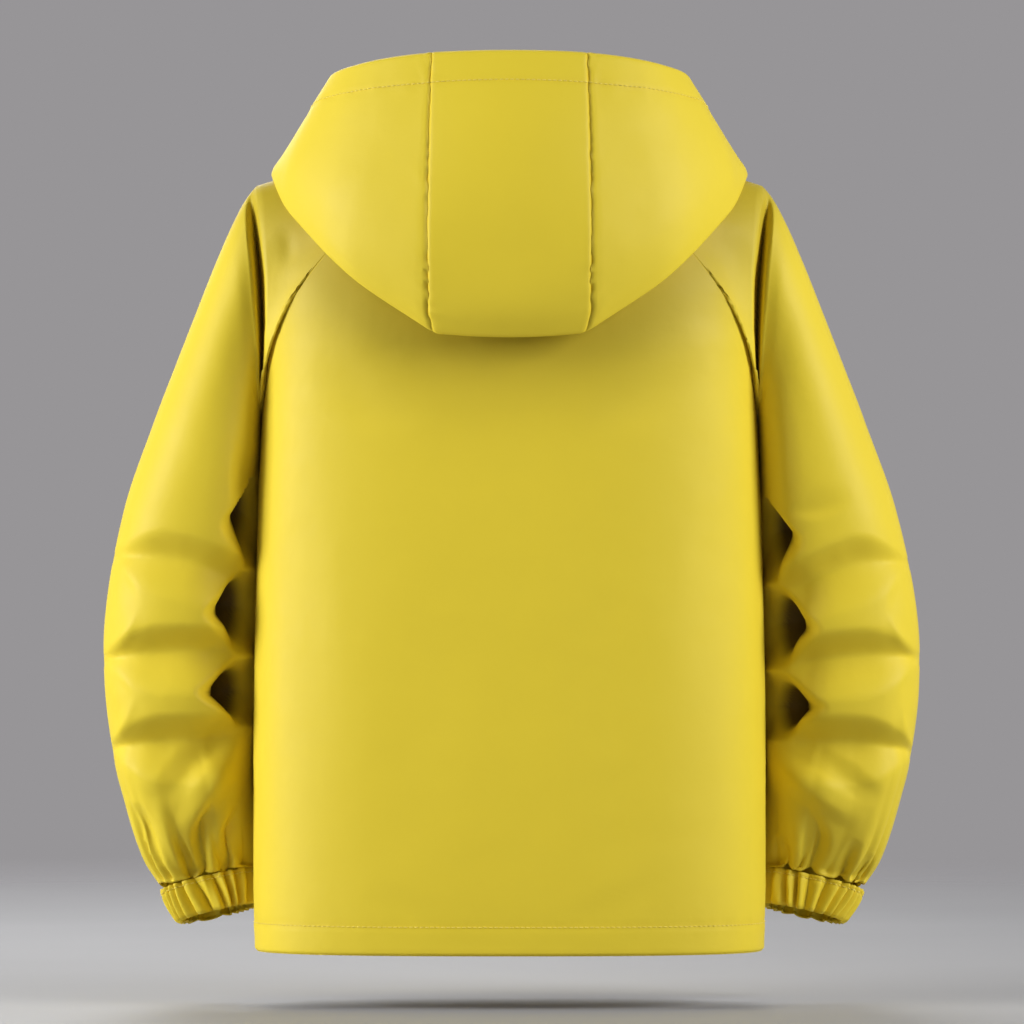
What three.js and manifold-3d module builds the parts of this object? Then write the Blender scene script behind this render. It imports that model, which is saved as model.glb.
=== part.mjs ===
// A hooded windbreaker jacket, filled out as worn but with nobody in it: raglan sleeves with
// elastic cuffs, a three-panel hood folded down on the back, and a zip up the front.
// Millimetres, +Z up. The wearer faces -Y and the wearer's left is +X. The origin is in the
// middle of the neck opening, level with the wearer's shoulders.
import * as THREE from "three";
import { mergeVertices } from "three/addons/utils/BufferGeometryUtils.js";
import Module from "manifold-3d";

const wasm = await Module();
wasm.setup();

const { degToRad } = THREE.MathUtils;
const V = (x, y, z) => new THREE.Vector3(x, y, z);

// Cloth and seams
const CLOTH = 1.5; // one layer of coated cloth, with its turned edges
const CUFF_CLOTH = 2.2; // a casing: two layers with elastic between them
const SEAM_GAP = 0.3; // pieces stand this far apart where they are sewn together

// The trunk
const HEM_Z = -598.5;
const UNDERARM_Z = -188; // where the side seam ends and the raglan seams begin
const BACK_NECK_Z = -8;
const FRONT_NECK_Z = -62;
const FRONT_EDGE_X = 6; // each front stops this far from the middle, beside the zip teeth

// How finely the cloth is divided
const TRUNK_ROWS = 7; // from the hem to the underarm
const RAGLAN_ROWS = 11; // from the underarm to the neck seam
const BACK_COLUMNS = 18;
const FRONT_COLUMNS = 9;
const NECK_ARC_COLUMNS = 6; // of the sleeve's short top edge, at the neck

// Sections up the trunk. z is the height at the panel's middle, depth how far the cloth stands
// from the middle plane there, halfWidth the half width of the whole section, square its
// squareness (2 is an ellipse). sweep is how far round the panel reaches, in degrees: 90 is the
// side seam, and less than that the raglan seam, which is rise higher than the middle.
const BACK_SECTIONS = [
  { z: HEM_Z, depth: 99, halfWidth: 195, square: 2.7, sweep: 90, rise: 0 },
  { z: -545, depth: 101, halfWidth: 196.5, square: 2.7, sweep: 90, rise: 0 },
  { z: -440, depth: 102, halfWidth: 196.5, square: 2.7, sweep: 90, rise: 0 },
  { z: -276, depth: 102, halfWidth: 193.5, square: 2.7, sweep: 90, rise: 0 },
  { z: UNDERARM_Z, depth: 102, halfWidth: 190, square: 2.7, sweep: 90, rise: 0 },
  { z: -180, depth: 102, halfWidth: 189.5, square: 2.7, sweep: 84, rise: -3 },
  { z: -163, depth: 101.5, halfWidth: 189, square: 2.7, sweep: 79, rise: -5 },
  { z: -138, depth: 100.5, halfWidth: 188.5, square: 2.7, sweep: 73.5, rise: 2 },
  { z: -116, depth: 99, halfWidth: 188, square: 2.6, sweep: 63, rise: 5 },
  { z: -97, depth: 97, halfWidth: 188, square: 2.6, sweep: 54, rise: 5 },
  { z: -70, depth: 92, halfWidth: 187, square: 2.5, sweep: 43, rise: 6 },
  { z: -45, depth: 84, halfWidth: 185, square: 2.5, sweep: 32, rise: 7 },
  { z: -24, depth: 74, halfWidth: 178, square: 2.5, sweep: 21.5, rise: 7 },
  { z: BACK_NECK_Z, depth: 60, halfWidth: 168, square: 2.5, sweep: 12.7, rise: 5 },
];
const FRONT_SECTIONS = [
  { z: HEM_Z, depth: 97, halfWidth: 195, square: 2.6, sweep: 90, rise: 0 },
  { z: -545, depth: 99, halfWidth: 196.5, square: 2.6, sweep: 90, rise: 0 },
  { z: -440, depth: 100, halfWidth: 196.5, square: 2.6, sweep: 90, rise: 0 },
  { z: -276, depth: 99.5, halfWidth: 193.5, square: 2.6, sweep: 90, rise: 0 },
  { z: UNDERARM_Z, depth: 98.5, halfWidth: 190, square: 2.6, sweep: 90, rise: 0 },
  { z: -184, depth: 98.5, halfWidth: 189.7, square: 2.6, sweep: 83, rise: 1 },
  { z: -172, depth: 98, halfWidth: 189.3, square: 2.6, sweep: 78, rise: 5 },
  { z: -152, depth: 97, halfWidth: 188.5, square: 2.55, sweep: 72, rise: 12 },
  { z: -132, depth: 95.5, halfWidth: 185, square: 2.5, sweep: 64, rise: 18 },
  { z: -114, depth: 93, halfWidth: 178, square: 2.4, sweep: 57, rise: 24 },
  { z: -99, depth: 90, halfWidth: 166, square: 2.3, sweep: 51, rise: 31 },
  { z: -86, depth: 86, halfWidth: 148, square: 2.2, sweep: 46, rise: 38 },
  { z: -74, depth: 81.5, halfWidth: 124, square: 2.1, sweep: 42, rise: 43 },
  { z: FRONT_NECK_Z, depth: 76, halfWidth: 98, square: 2, sweep: 40, rise: 47 },
];

// A smooth line through rows of numbers at rising knots. A steady line never overshoots its
// rows, which a table of sizes needs; a free one has rounder bends, which a path needs.
function smooth(knots, rows, steady) {
  const last = knots.length - 1;
  const gap = (i) => knots[i + 1] - knots[i];
  const slope = (i, c) => (rows[i + 1][c] - rows[i][c]) / gap(i);
  const tangent = (i, c) => {
    if (i === 0) return slope(0, c);
    if (i === last) return slope(last - 1, c);
    const before = slope(i - 1, c);
    const after = slope(i, c);
    if (steady && before * after <= 0) return 0;
    const share = gap(i - 1) / (gap(i - 1) + gap(i));
    if (steady) return 1 / ((1 - share) / after + share / before);
    return before * (1 - share) + after * share;
  };
  const tangents = rows.map((row, i) => row.map((_, c) => tangent(i, c)));
  return (x) => {
    const at = Math.min(Math.max(x, knots[0]), knots[last]);
    let i = 0;
    while (i < last - 1 && at > knots[i + 1]) i += 1;
    const h = gap(i);
    const t = (at - knots[i]) / h;
    const [a, b] = [t * t * (3 - 2 * t), t * (1 - t)];
    return rows[i].map(
      (v, c) =>
        v * (1 - a) + rows[i + 1][c] * a + h * b * ((1 - t) * tangents[i][c] - t * tangents[i + 1][c]),
    );
  };
}

// A table read by its key column: gives every other column, named, at any value of the key.
function tableBy(key, rows) {
  const names = Object.keys(rows[0]).filter((name) => name !== key);
  const knots = rows.map((row) => row[key]);
  const line = smooth(knots, rows.map((row) => names.map((name) => row[name])), true);
  return (x) => {
    const values = line(x);
    return Object.fromEntries(names.map((name, i) => [name, values[i]]));
  };
}

// A path through points, read by the share of its length.
function pathThrough(points) {
  const run = [0];
  for (let i = 1; i < points.length; i += 1) {
    run.push(run[i - 1] + points[i].distanceTo(points[i - 1]));
  }
  const line = smooth(run, points.map((p) => p.toArray()), false);
  return (share) => V(...line(share * run[run.length - 1]));
}

// Values from start to end at which a path has gone equal lengths.
function evenSteps(path, start, end, steps) {
  const fine = 40 * steps;
  const values = Array.from({ length: fine + 1 }, (_, i) => start + ((end - start) * i) / fine);
  const run = [0];
  let before = path(values[0]);
  for (let i = 1; i <= fine; i += 1) {
    const here = path(values[i]);
    run.push(run[i - 1] + here.distanceTo(before));
    before = here;
  }
  const found = [start];
  let i = 0;
  for (let step = 1; step < steps; step += 1) {
    const wanted = (run[fine] * step) / steps;
    while (run[i + 1] < wanted) i += 1;
    const share = (wanted - run[i]) / (run[i + 1] - run[i]);
    found.push(values[i] + share * (values[i + 1] - values[i]));
  }
  return [...found, end];
}

const backSection = tableBy("z", BACK_SECTIONS);
const frontSection = tableBy("z", FRONT_SECTIONS);

// A point of the trunk's cloth. turn is 0 at the middle and 1 at the panel's side edge, and
// facing is 1 at the back and -1 at the front.
function trunkPoint(section, z, turn, facing) {
  const s = section(z);
  const angle = degToRad(s.sweep) * turn;
  const power = 2 / s.square;
  return V(
    s.halfWidth * Math.sin(angle) ** power,
    facing * s.depth * Math.max(Math.cos(angle), 0) ** power,
    z + s.rise * turn * turn,
  );
}
const backPoint = (z, turn) => trunkPoint(backSection, z, turn, 1);
const frontPoint = (z, turn) => trunkPoint(frontSection, z, turn, -1);

// The heights of a panel's rows: even up to the underarm, then even along its raglan seam.
function rowHeights(point, neckZ) {
  const below = Array.from(
    { length: TRUNK_ROWS },
    (_, i) => HEM_Z + ((UNDERARM_Z - HEM_Z) * i) / TRUNK_ROWS,
  );
  const above = evenSteps((z) => point(z, 1), UNDERARM_Z, neckZ, RAGLAN_ROWS);
  return [...below, ...above];
}
const backRows = rowHeights(backPoint, BACK_NECK_Z);
const frontRows = rowHeights(frontPoint, FRONT_NECK_Z);
const mirrored = (p) => V(-p.x, p.y, p.z);

// One row of the back, from the wearer's right to the left, its points evenly spaced.
function backRow(z) {
  const turns = evenSteps((turn) => backPoint(z, turn), 0, 1, BACK_COLUMNS / 2);
  const left = turns.map((turn) => backPoint(z, turn));
  return [...left.slice(1).reverse().map(mirrored), ...left];
}

// One row of the left front, from beside the zip to the side.
function frontRow(z) {
  let low = 0;
  let high = 1;
  for (let i = 0; i < 40; i += 1) {
    const middle = (low + high) / 2;
    if (frontPoint(z, middle).x < FRONT_EDGE_X) low = middle;
    else high = middle;
  }
  const turns = evenSteps((turn) => frontPoint(z, turn), low, 1, FRONT_COLUMNS);
  return turns.map((turn) => frontPoint(z, turn));
}

// Walls of cloth. A wall is made from rings or rows of points on its outer face; each ring may
// have its own number of points, and places says how far round each point is, from 0 to 1.
const TIE = 1e-9;
function strip(a, b, closed) {
  const faces = [];
  const nA = a.places.length;
  const nB = b.places.length;
  const endA = closed ? nA : nA - 1;
  const endB = closed ? nB : nB - 1;
  const place = (ring, i) => (i < ring.places.length ? ring.places[i] : 1);
  let i = 0;
  let j = 0;
  while (i < endA || j < endB) {
    const nextA = i < endA ? place(a, i + 1) : Infinity;
    const nextB = j < endB ? place(b, j + 1) : Infinity;
    const [p, q] = [a.first + (i % nA), b.first + (j % nB)];
    // Where both rings step together, the diagonals mirror each other about the middle.
    const leaning = closed === (nextA <= 0.5 + TIE) ? TIE : -TIE;
    if (nextA <= nextB + leaning) {
      faces.push([p, q, a.first + ((i + 1) % nA)]);
      i += 1;
    } else {
      faces.push([p, q, b.first + ((j + 1) % nB)]);
      j += 1;
    }
  }
  return faces;
}

function skin(rings, closed) {
  const points = [];
  const numbered = rings.map((ring) => {
    const first = points.length;
    points.push(...ring.points);
    return { first, places: ring.places };
  });
  const faces = [];
  for (let i = 0; i + 1 < numbered.length; i += 1) {
    faces.push(...strip(numbered[i], numbered[i + 1], closed));
  }
  return { points, faces, numbered };
}

function normalsOf({ points, faces }) {
  const normals = points.map(() => V(0, 0, 0));
  for (const [a, b, c] of faces) {
    const area = points[b].clone().sub(points[a]).cross(points[c].clone().sub(points[a]));
    for (const corner of [a, b, c]) normals[corner].add(area);
  }
  return normals.map((n) => n.normalize());
}

function meshFrom(points, faces) {
  const geometry = new THREE.BufferGeometry();
  geometry.setAttribute(
    "position",
    new THREE.Float32BufferAttribute(points.flatMap((p) => p.toArray()), 3),
  );
  geometry.setIndex(faces.flat());
  const parted = geometry.toNonIndexed();
  parted.computeVertexNormals();
  return parted;
}

// The closed wall behind an outer face. seams gives the normals that points share with the piece
// they are sewn to, each with its ring and its place in the ring.
function wall(rings, { closed = false, cloth = CLOTH, seams = [] } = {}) {
  const { points, faces, numbered } = skin(rings, closed);
  const normals = normalsOf({ points, faces });
  for (const { ring, at, normal } of seams) normals[numbered[ring].first + at] = normal;
  const inner = points.map((p, i) => p.clone().addScaledVector(normals[i], -cloth));
  const shift = points.length;
  const all = faces.concat(faces.map(([a, b, c]) => [a + shift, c + shift, b + shift]));
  const edge = (line) => {
    for (let i = 0; i + 1 < line.length; i += 1) {
      const [p, q] = [line[i], line[i + 1]];
      all.push([p, q, p + shift], [q, q + shift, p + shift]);
    }
  };
  const ringLine = ({ first, places }) => places.map((_, i) => first + i);
  const start = ringLine(numbered[0]);
  const end = ringLine(numbered.at(-1));
  if (closed) {
    edge([...start, start[0]]);
    edge([...end, end[0]].reverse());
  } else {
    edge(start);
    edge([...end].reverse());
    edge(numbered.map(({ first }) => first).reverse());
    edge(numbered.map(({ first, places }) => first + places.length - 1));
  }
  return meshFrom([...points, ...inner], all);
}

// The same wall on the wearer's other side.
function mirroredWall(geometry) {
  const at = geometry.attributes.position;
  const points = [];
  for (let i = 0; i < at.count; i += 1) points.push(V(-at.getX(i), at.getY(i), at.getZ(i)));
  const faces = [];
  for (let i = 0; i < at.count; i += 3) faces.push([i, i + 2, i + 1]);
  return meshFrom(points, faces);
}

const evenPlaces = (count, closed) =>
  Array.from({ length: count }, (_, i) => i / (closed ? count : count - 1));
const rowOf = (points) => ({ points, places: evenPlaces(points.length, false) });

// Moves a row's end inwards along the row, so that it stands half a seam gap from the seam.
function trimEnds(points, atStart, atEnd, trim = SEAM_GAP / 2) {
  const trimmed = points.map((p) => p.clone());
  const pull = (end, next) => {
    const step = points[next].clone().sub(points[end]).setLength(trim);
    trimmed[end].add(step);
  };
  if (atStart) pull(0, 1);
  if (atEnd) pull(points.length - 1, points.length - 2);
  return trimmed;
}

// Every row of a panel, its top row lowered by half a seam gap under the neck seam.
function panelRows(heights, rowAt, atStart, atEnd) {
  const rows = heights.map((z) => rowAt(z));
  const top = rows.at(-1);
  const under = rows.at(-2);
  top.forEach((p, i) => p.add(under[i].clone().sub(p).setLength(SEAM_GAP / 2)));
  return rows.map((row) => rowOf(trimEnds(row, atStart, atEnd)));
}

const backPanel = panelRows(backRows, backRow, true, true);
// The front's rows run from the side to the zip, so that its outer face looks forwards.
const frontLeftPanel = panelRows(frontRows, frontRow, false, true).map((row) => ({
  ...row,
  points: [...row.points].reverse(),
}));

// The sleeves. ring 0 is the raglan seam, closed by the sleeve's top edge at the neck. From ring
// 2 on, a ring is an upright oval: inner is its end beside the body, outer its end on the
// outline, and depth its half depth front to back about midY.
const SLEEVE_RINGS = [
  { ring: 2, innerX: 191.5, innerZ: -188.5, outerX: 194, outerZ: -17.5, midY: 0, depth: 47 },
  { ring: 3, innerX: 191.9, innerZ: -190, outerX: 198.5, outerZ: -22.5, midY: 0, depth: 46 },
  { ring: 4, innerX: 192.1, innerZ: -193, outerX: 204, outerZ: -30.5, midY: 0, depth: 44 },
  { ring: 5, innerX: 192.3, innerZ: -199, outerX: 213, outerZ: -48, midY: 0, depth: 46 },
  { ring: 6, innerX: 192.5, innerZ: -208, outerX: 226, outerZ: -78, midY: 0, depth: 48 },
  { ring: 7, innerX: 193, innerZ: -222, outerX: 241, outerZ: -116, midY: 0, depth: 51 },
  { ring: 8, innerX: 193.7, innerZ: -240, outerX: 257, outerZ: -157, midY: 0, depth: 54 },
  { ring: 9, innerX: 194.5, innerZ: -262, outerX: 272, outerZ: -196, midY: -1, depth: 56 },
  { ring: 11, innerX: 195.7, innerZ: -310, outerX: 296, outerZ: -266, midY: -3, depth: 57 },
  { ring: 13, innerX: 196.7, innerZ: -358, outerX: 309.5, outerZ: -336, midY: -6, depth: 57 },
  { ring: 14, innerX: 197.1, innerZ: -382, outerX: 312, outerZ: -372, midY: -8, depth: 56 },
  { ring: 15, innerX: 197.4, innerZ: -408, outerX: 311, outerZ: -406, midY: -11, depth: 55 },
  { ring: 17, innerX: 197.8, innerZ: -460, outerX: 304, outerZ: -462, midY: -19, depth: 52 },
  { ring: 18, innerX: 197, innerZ: -484, outerX: 298, outerZ: -488, midY: -24, depth: 48 },
  { ring: 19, innerX: 195.8, innerZ: -506, outerX: 291.5, outerZ: -513, midY: -30, depth: 43 },
  { ring: 20, innerX: 194.5, innerZ: -524, outerX: 283, outerZ: -537, midY: -37, depth: 37 },
  { ring: 21, innerX: 193.5, innerZ: -538, outerX: 271, outerZ: -556, midY: -43, depth: 30 },
];
// pinch draws the cloth into the long fold that runs down from the shoulder point to the
// underarm, waist draws it in towards the body, and lean is how much higher the back of a ring
// is than its front for each millimetre of depth.
const SLEEVE_SHAPING = [
  { ring: 2, pinch: 0, waist: 6.5, lean: 0 },
  { ring: 3, pinch: 30, waist: 4.5, lean: 0 },
  { ring: 4, pinch: 0, waist: 2.5, lean: 0 },
  { ring: 5, pinch: 0, waist: 0, lean: 0 },
  { ring: 17, pinch: 0, waist: 0, lean: 0 },
  { ring: 18, pinch: 0, waist: 0, lean: 0.04 },
  { ring: 19, pinch: 0, waist: 0, lean: 0.09 },
  { ring: 20, pinch: 0, waist: 0, lean: 0.14 },
  { ring: 21, pinch: 0, waist: 0, lean: 0.18 },
];
const SLEEVE_SQUARE = 2.3;
const LAST_RING = 21;
const SHOULDER_BULGE = 4; // above the underarm the cloth rounds out this far between seam and ring 2

// The folds of the bent elbow. Each trough runs across the back of the sleeve, from innerZ beside
// the body to outerZ at the outline. Each hollow is a pit beside the body between two troughs,
// reach deep and 2 x half high, that narrows to a point on the back of the sleeve, which is its
// end, as a share of the ring.
const FOLDS = {
  left: {
    swing: 0, // how much further out the outline of this sleeve stands below the elbow
    troughs: [
      { innerZ: -312, middleZ: -318, outerZ: -297, depth: 10, half: 31 },
      { innerZ: -374, middleZ: -371, outerZ: -373, depth: 14, half: 32 },
      { innerZ: -426, middleZ: -436, outerZ: -442, depth: 15, half: 34 },
    ],
    hollows: [
      { z: -272, reach: 34, half: 36, end: 0.185 },
      { z: -340, reach: 46, half: 33, end: 0.205 },
      { z: -401, reach: 48, half: 27, end: 0.215 },
    ],
  },
  right: {
    swing: 4,
    troughs: [
      { innerZ: -318, middleZ: -323, outerZ: -302, depth: 11, half: 31 },
      { innerZ: -386, middleZ: -381, outerZ: -375, depth: 14, half: 33 },
      { innerZ: -433, middleZ: -443, outerZ: -447, depth: 15, half: 34 },
    ],
    hollows: [
      { z: -285, reach: 38, half: 34, end: 0.19 },
      { z: -352, reach: 45, half: 33, end: 0.21 },
      { z: -412, reach: 46, half: 27, end: 0.22 },
    ],
  },
};
const FRONT_DROP = 32; // the front's folds lie this much lower, between the back's
const FRONT_TURN = 0.02; // its hollows lie this much further from the inner side
const FRONT_SIZE = 0.6; // and are this much smaller
// How far round the sleeve a hollow starts and is deepest, as shares of the ring. The inner side
// is at 0 and the back is positive.
const HOLLOW_START = 0;
const HOLLOW_DEEPEST = 0.065;

// Gathers: at the sleeve's end, and in the cuff
const SLEEVE_GATHERS = 12;
const SLEEVE_GATHER_DEPTH = 9;
const SLEEVE_GATHER_LENGTH = 34;
const CUFF_GATHERS = 17;
const CUFF_GATHER_DEPTH = 1.6;
const CUFF_DROP = V(-8, 2, -26); // from the cuff's upper edge to its lower one
const CUFF_TAPER = 0.85;

const ovalSizes = tableBy("ring", SLEEVE_RINGS);
const ovalShaping = tableBy("ring", SLEEVE_SHAPING);
const sleeveOval = (ring) => ({ ...ovalSizes(ring), ...ovalShaping(ring) });
const bump = (x) => (Math.abs(x) < 1 ? (1 - x * x) ** 2 : 0);

// The raglan seam and the top edge of the left sleeve, from the underarm up the back, round the
// side of the neck and down the front.
const NECK_ARC = pathThrough([
  backPoint(BACK_NECK_Z, 1),
  V(69, 42, 4),
  V(83, 8, 10),
  V(80, -28, 2),
  frontPoint(FRONT_NECK_Z, 1),
]);
const neckArcPoints = Array.from({ length: NECK_ARC_COLUMNS - 1 }, (_, i) =>
  NECK_ARC((i + 1) / NECK_ARC_COLUMNS),
);
const raglanLoop = [
  ...backRows.slice(TRUNK_ROWS).map((z) => backPoint(z, 1)),
  ...neckArcPoints,
  ...frontRows.slice(TRUNK_ROWS + 1).map((z) => frontPoint(z, 1)).reverse(),
];

// How far round the loop each of its points is.
function placesOf(loop) {
  const run = [0];
  loop.forEach((p, i) => run.push(run[i] + p.distanceTo(loop[(i + 1) % loop.length])));
  const whole = run.pop();
  return run.map((length) => length / whole);
}
const loopPlaces = placesOf(raglanLoop);
const raglanAt = (place) => {
  let i = loopPlaces.length - 1;
  while (loopPlaces[i] > place) i -= 1;
  const next = raglanLoop[(i + 1) % raglanLoop.length];
  const span = (loopPlaces[i + 1] ?? 1) - loopPlaces[i];
  return raglanLoop[i].clone().lerp(next, (place - loopPlaces[i]) / span);
};

// A point of an oval ring, at its share of the way round.
function ovalPoint(ring, place, swing = 0) {
  const s = sleeveOval(ring);
  const angle = 2 * Math.PI * place;
  const power = 2 / SLEEVE_SQUARE;
  const across = Math.sign(Math.cos(angle)) * Math.abs(Math.cos(angle)) ** power;
  const deep = Math.sign(Math.sin(angle)) * Math.abs(Math.sin(angle)) ** power;
  const pinched = s.depth - s.pinch * Math.abs(Math.sin(angle)) ** 0.6;
  const y = pinched * deep;
  const outwards = swing * THREE.MathUtils.smoothstep(ring, 9, 16) * (0.5 - 0.5 * across);
  const drawnIn = s.waist * Math.abs(deep) ** 3;
  return V(
    (s.innerX + s.outerX) / 2 + (across * (s.innerX - s.outerX)) / 2 - drawnIn + outwards,
    s.midY + y,
    (s.innerZ + s.outerZ) / 2 + (across * (s.innerZ - s.outerZ)) / 2 + s.lean * y,
  );
}

// The sleeve with no folds: between the raglan loop and ring 2 the cloth lies over the shoulder.
function plainSleeve(ring, place, swing) {
  if (ring >= 2) return ovalPoint(ring, place, swing);
  const share = ring / 2;
  const p = raglanAt(place).lerp(ovalPoint(2, place), share);
  const away = V(0.5, Math.sin(2 * Math.PI * place) * 0.8, -Math.cos(2 * Math.PI * place) * 0.6);
  const low = Math.sqrt(0.5 + 0.5 * Math.cos(2 * Math.PI * place));
  return p.addScaledVector(away.normalize(), low * SHOULDER_BULGE * 4 * share * (1 - share));
}

// How far a point of the sleeve is pushed towards the middle of its ring.
function foldDepth(folds, place, z) {
  const back = place <= 0.5;
  const round = back ? place : 1 - place;
  const height = back ? z : z + FRONT_DROP;
  let depth = 0;
  for (const t of folds.troughs) {
    const line = smooth([0, 0.25, 0.5], [[t.innerZ], [t.middleZ], [t.outerZ]], false)(round)[0];
    depth += t.depth * bump((height - line) / t.half) * bump((round - 0.29) / 0.24);
  }
  for (const h of folds.hollows) {
    for (const facing of [1, -1]) {
      const middleZ = facing === 1 ? h.z : h.z - FRONT_DROP;
      const size = facing === 1 ? 1 : FRONT_SIZE;
      const at = (back ? round : -round) * facing - (facing === 1 ? 0 : FRONT_TURN);
      const before = (at - HOLLOW_START) / (HOLLOW_DEEPEST - HOLLOW_START);
      const after = (h.end - at) / (h.end - HOLLOW_DEEPEST);
      const share = Math.min(before, after);
      if (share <= 0) continue;
      const high = size * h.half * Math.min(1, 0.15 + after);
      const near = Math.max(0, 1 - Math.abs(z - middleZ) / high);
      depth += size * h.reach * share * near * (1.5 - 0.5 * near);
    }
  }
  return depth;
}

// Gathers stand out from the cloth: rounded ridges with sharp grooves, unevenly spaced.
function gather(place, count) {
  const wander = 0.3 * Math.sin(4 * Math.PI * place + 1) + 0.22 * Math.sin(10 * Math.PI * place);
  return 2 * Math.abs(Math.cos(Math.PI * (count * place + wander))) - 1;
}

function sleevePoint(side, ring, place) {
  const p = plainSleeve(ring, place, FOLDS[side].swing);
  if (ring <= 4) return p;
  const s = sleeveOval(ring);
  const middle = V((s.innerX + s.outerX) / 2, s.midY, (s.innerZ + s.outerZ) / 2);
  const inwards = middle.sub(p).normalize();
  const end = ovalPoint(LAST_RING, place, FOLDS[side].swing);
  const fade = Math.exp(-p.distanceTo(end) / SLEEVE_GATHER_LENGTH);
  const groove = (SLEEVE_GATHER_DEPTH / 2) * fade * (1 - gather(place, SLEEVE_GATHERS));
  return p.addScaledVector(inwards, foldDepth(FOLDS[side], place, p.z) + groove);
}

const EARLY_RINGS = [0, 0.6, 1.2, 1.7, 2, 2.5, 3, 3.5, 4, 5, 6, 7, 8, 9];
const FOLD_RINGS = Array.from({ length: 18 }, (_, i) => 9.6 + 0.45 * i);
const END_RINGS = [17.9, 18.6, 19.4, 20.2, 20.95];
const FOLD_COLUMNS = 32;

function sleeveRings(side) {
  const ringAt = (ring, places) => ({
    places,
    points: places.map((place) => sleevePoint(side, ring, place)),
  });
  const rings = [
    ...EARLY_RINGS.map((ring) => ringAt(ring, loopPlaces)),
    ...FOLD_RINGS.map((ring) => ringAt(ring, evenPlaces(FOLD_COLUMNS, true))),
    ...END_RINGS.map((ring) => ringAt(ring, evenPlaces(4 * SLEEVE_GATHERS, true))),
  ];
  const [seam, next] = rings;
  seam.points = seam.points.map((p, i) =>
    p.clone().add(next.points[i].clone().sub(p).setLength(SEAM_GAP / 2)),
  );
  return rings;
}

// The cuff: a gathered casing that carries on from the sleeve's end.
function cuffRings(side) {
  const places = evenPlaces(4 * CUFF_GATHERS, true);
  const shares = [0, 0.5, 1];
  const top = (place) => ovalPoint(LAST_RING, place, FOLDS[side].swing);
  const middle = top(0).lerp(top(0.5), 0.5);
  return shares.map((share) => ({
    places,
    points: places.map((place) => {
      const out = top(place).sub(middle);
      const full = 1 + 0.03 * Math.sin(Math.PI * share);
      const ripple = CUFF_GATHER_DEPTH * (gather(place + 0.01 * share, CUFF_GATHERS) - 1);
      const scale = (1 - (1 - CUFF_TAPER) * share) * full;
      const p = middle.clone().addScaledVector(CUFF_DROP, share);
      return p.addScaledVector(out, scale).addScaledVector(out.clone().normalize(), ripple);
    }),
  }));
}

// The hood, folded down: from the neck seam the cloth stands up, rolls over, lies down on the
// back to a fold, and comes up again on the outside to the rim of the face opening. A row is a
// section through it. neck is how far round the neck seam it starts, from the throat at 0 to the
// middle of the back at 1, and roll is the radius of its fold. bulge rounds out the outside.
const HOOD_FOLDS = [
  { neck: 0, foldX: 6, foldY: -88, foldZ: -53, roll: 1, lift: 3 },
  { neck: 0.15, foldX: 50, foldY: -92, foldZ: -43, roll: 2, lift: 6 },
  { neck: 0.3, foldX: 104, foldY: -82, foldZ: -34, roll: 3, lift: 9 },
  { neck: 0.43, foldX: 155, foldY: -50, foldZ: -19, roll: 3, lift: 9 },
  { neck: 0.54, foldX: 183, foldY: -4, foldZ: -3.5, roll: 3, lift: 9 },
  { neck: 0.65, foldX: 173, foldY: 44, foldZ: -27, roll: 5, lift: 9 },
  { neck: 0.74, foldX: 151, foldY: 78, foldZ: -54, roll: 6, lift: 8 },
  { neck: 0.82, foldX: 120, foldY: 103, foldZ: -85, roll: 7, lift: 8 },
  { neck: 0.89, foldX: 57, foldY: 119, foldZ: -128, roll: 7, lift: 8 },
];
// The same sections' ends at the rim, from the throat to the seam of the centre panel.
const HOOD_RIM = [
  { rimX: 6, rimY: -93, rimZ: -37, bulge: 0 },
  { rimX: 47, rimY: -84, rimZ: -8, bulge: 1 },
  { rimX: 90, rimY: -68, rimZ: 20, bulge: 1 },
  { rimX: 124, rimY: -37, rimZ: 46, bulge: 1 },
  { rimX: 139.5, rimY: 6, rimZ: 62, bulge: 0 },
  { rimX: 135, rimY: 44, rimZ: 71.5, bulge: 6 },
  { rimX: 115, rimY: 74, rimZ: 77.5, bulge: 10 },
  { rimX: 88, rimY: 91, rimZ: 82, bulge: 13 },
  { rimX: 59, rimY: 100, rimZ: 85, bulge: 16 },
];
const HOOD_MIDDLE = {
  neck: 1,
  foldX: 0,
  foldY: 122,
  foldZ: -131,
  rimX: 0,
  rimY: 105,
  rimZ: 86.5,
  roll: 7,
  bulge: 18,
  lift: 8,
};
const WIDEST_NECK = 0.54; // where round the neck the hood reaches widest
const HOOD_STAND = 9; // how high the cloth stands above the neck seam before it rolls over
const HOOD_COLUMNS = 12; // of each side panel
const HOOD_CENTRE_COLUMNS = 6;
const HOOD_TRIM = 0.4; // its panels stand this far from their seams, which turn sharply at the fold
// Shares of a section's length at which it has a row, closest at the roll-over and the fold.
const HOOD_ROWS = [
  0, 0.025, 0.055, 0.1, 0.16, 0.23, 0.3, 0.35, 0.375, 0.395, 0.415,
  0.435, 0.455, 0.48, 0.52, 0.59, 0.67, 0.75, 0.83, 0.92, 1,
];

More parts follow.
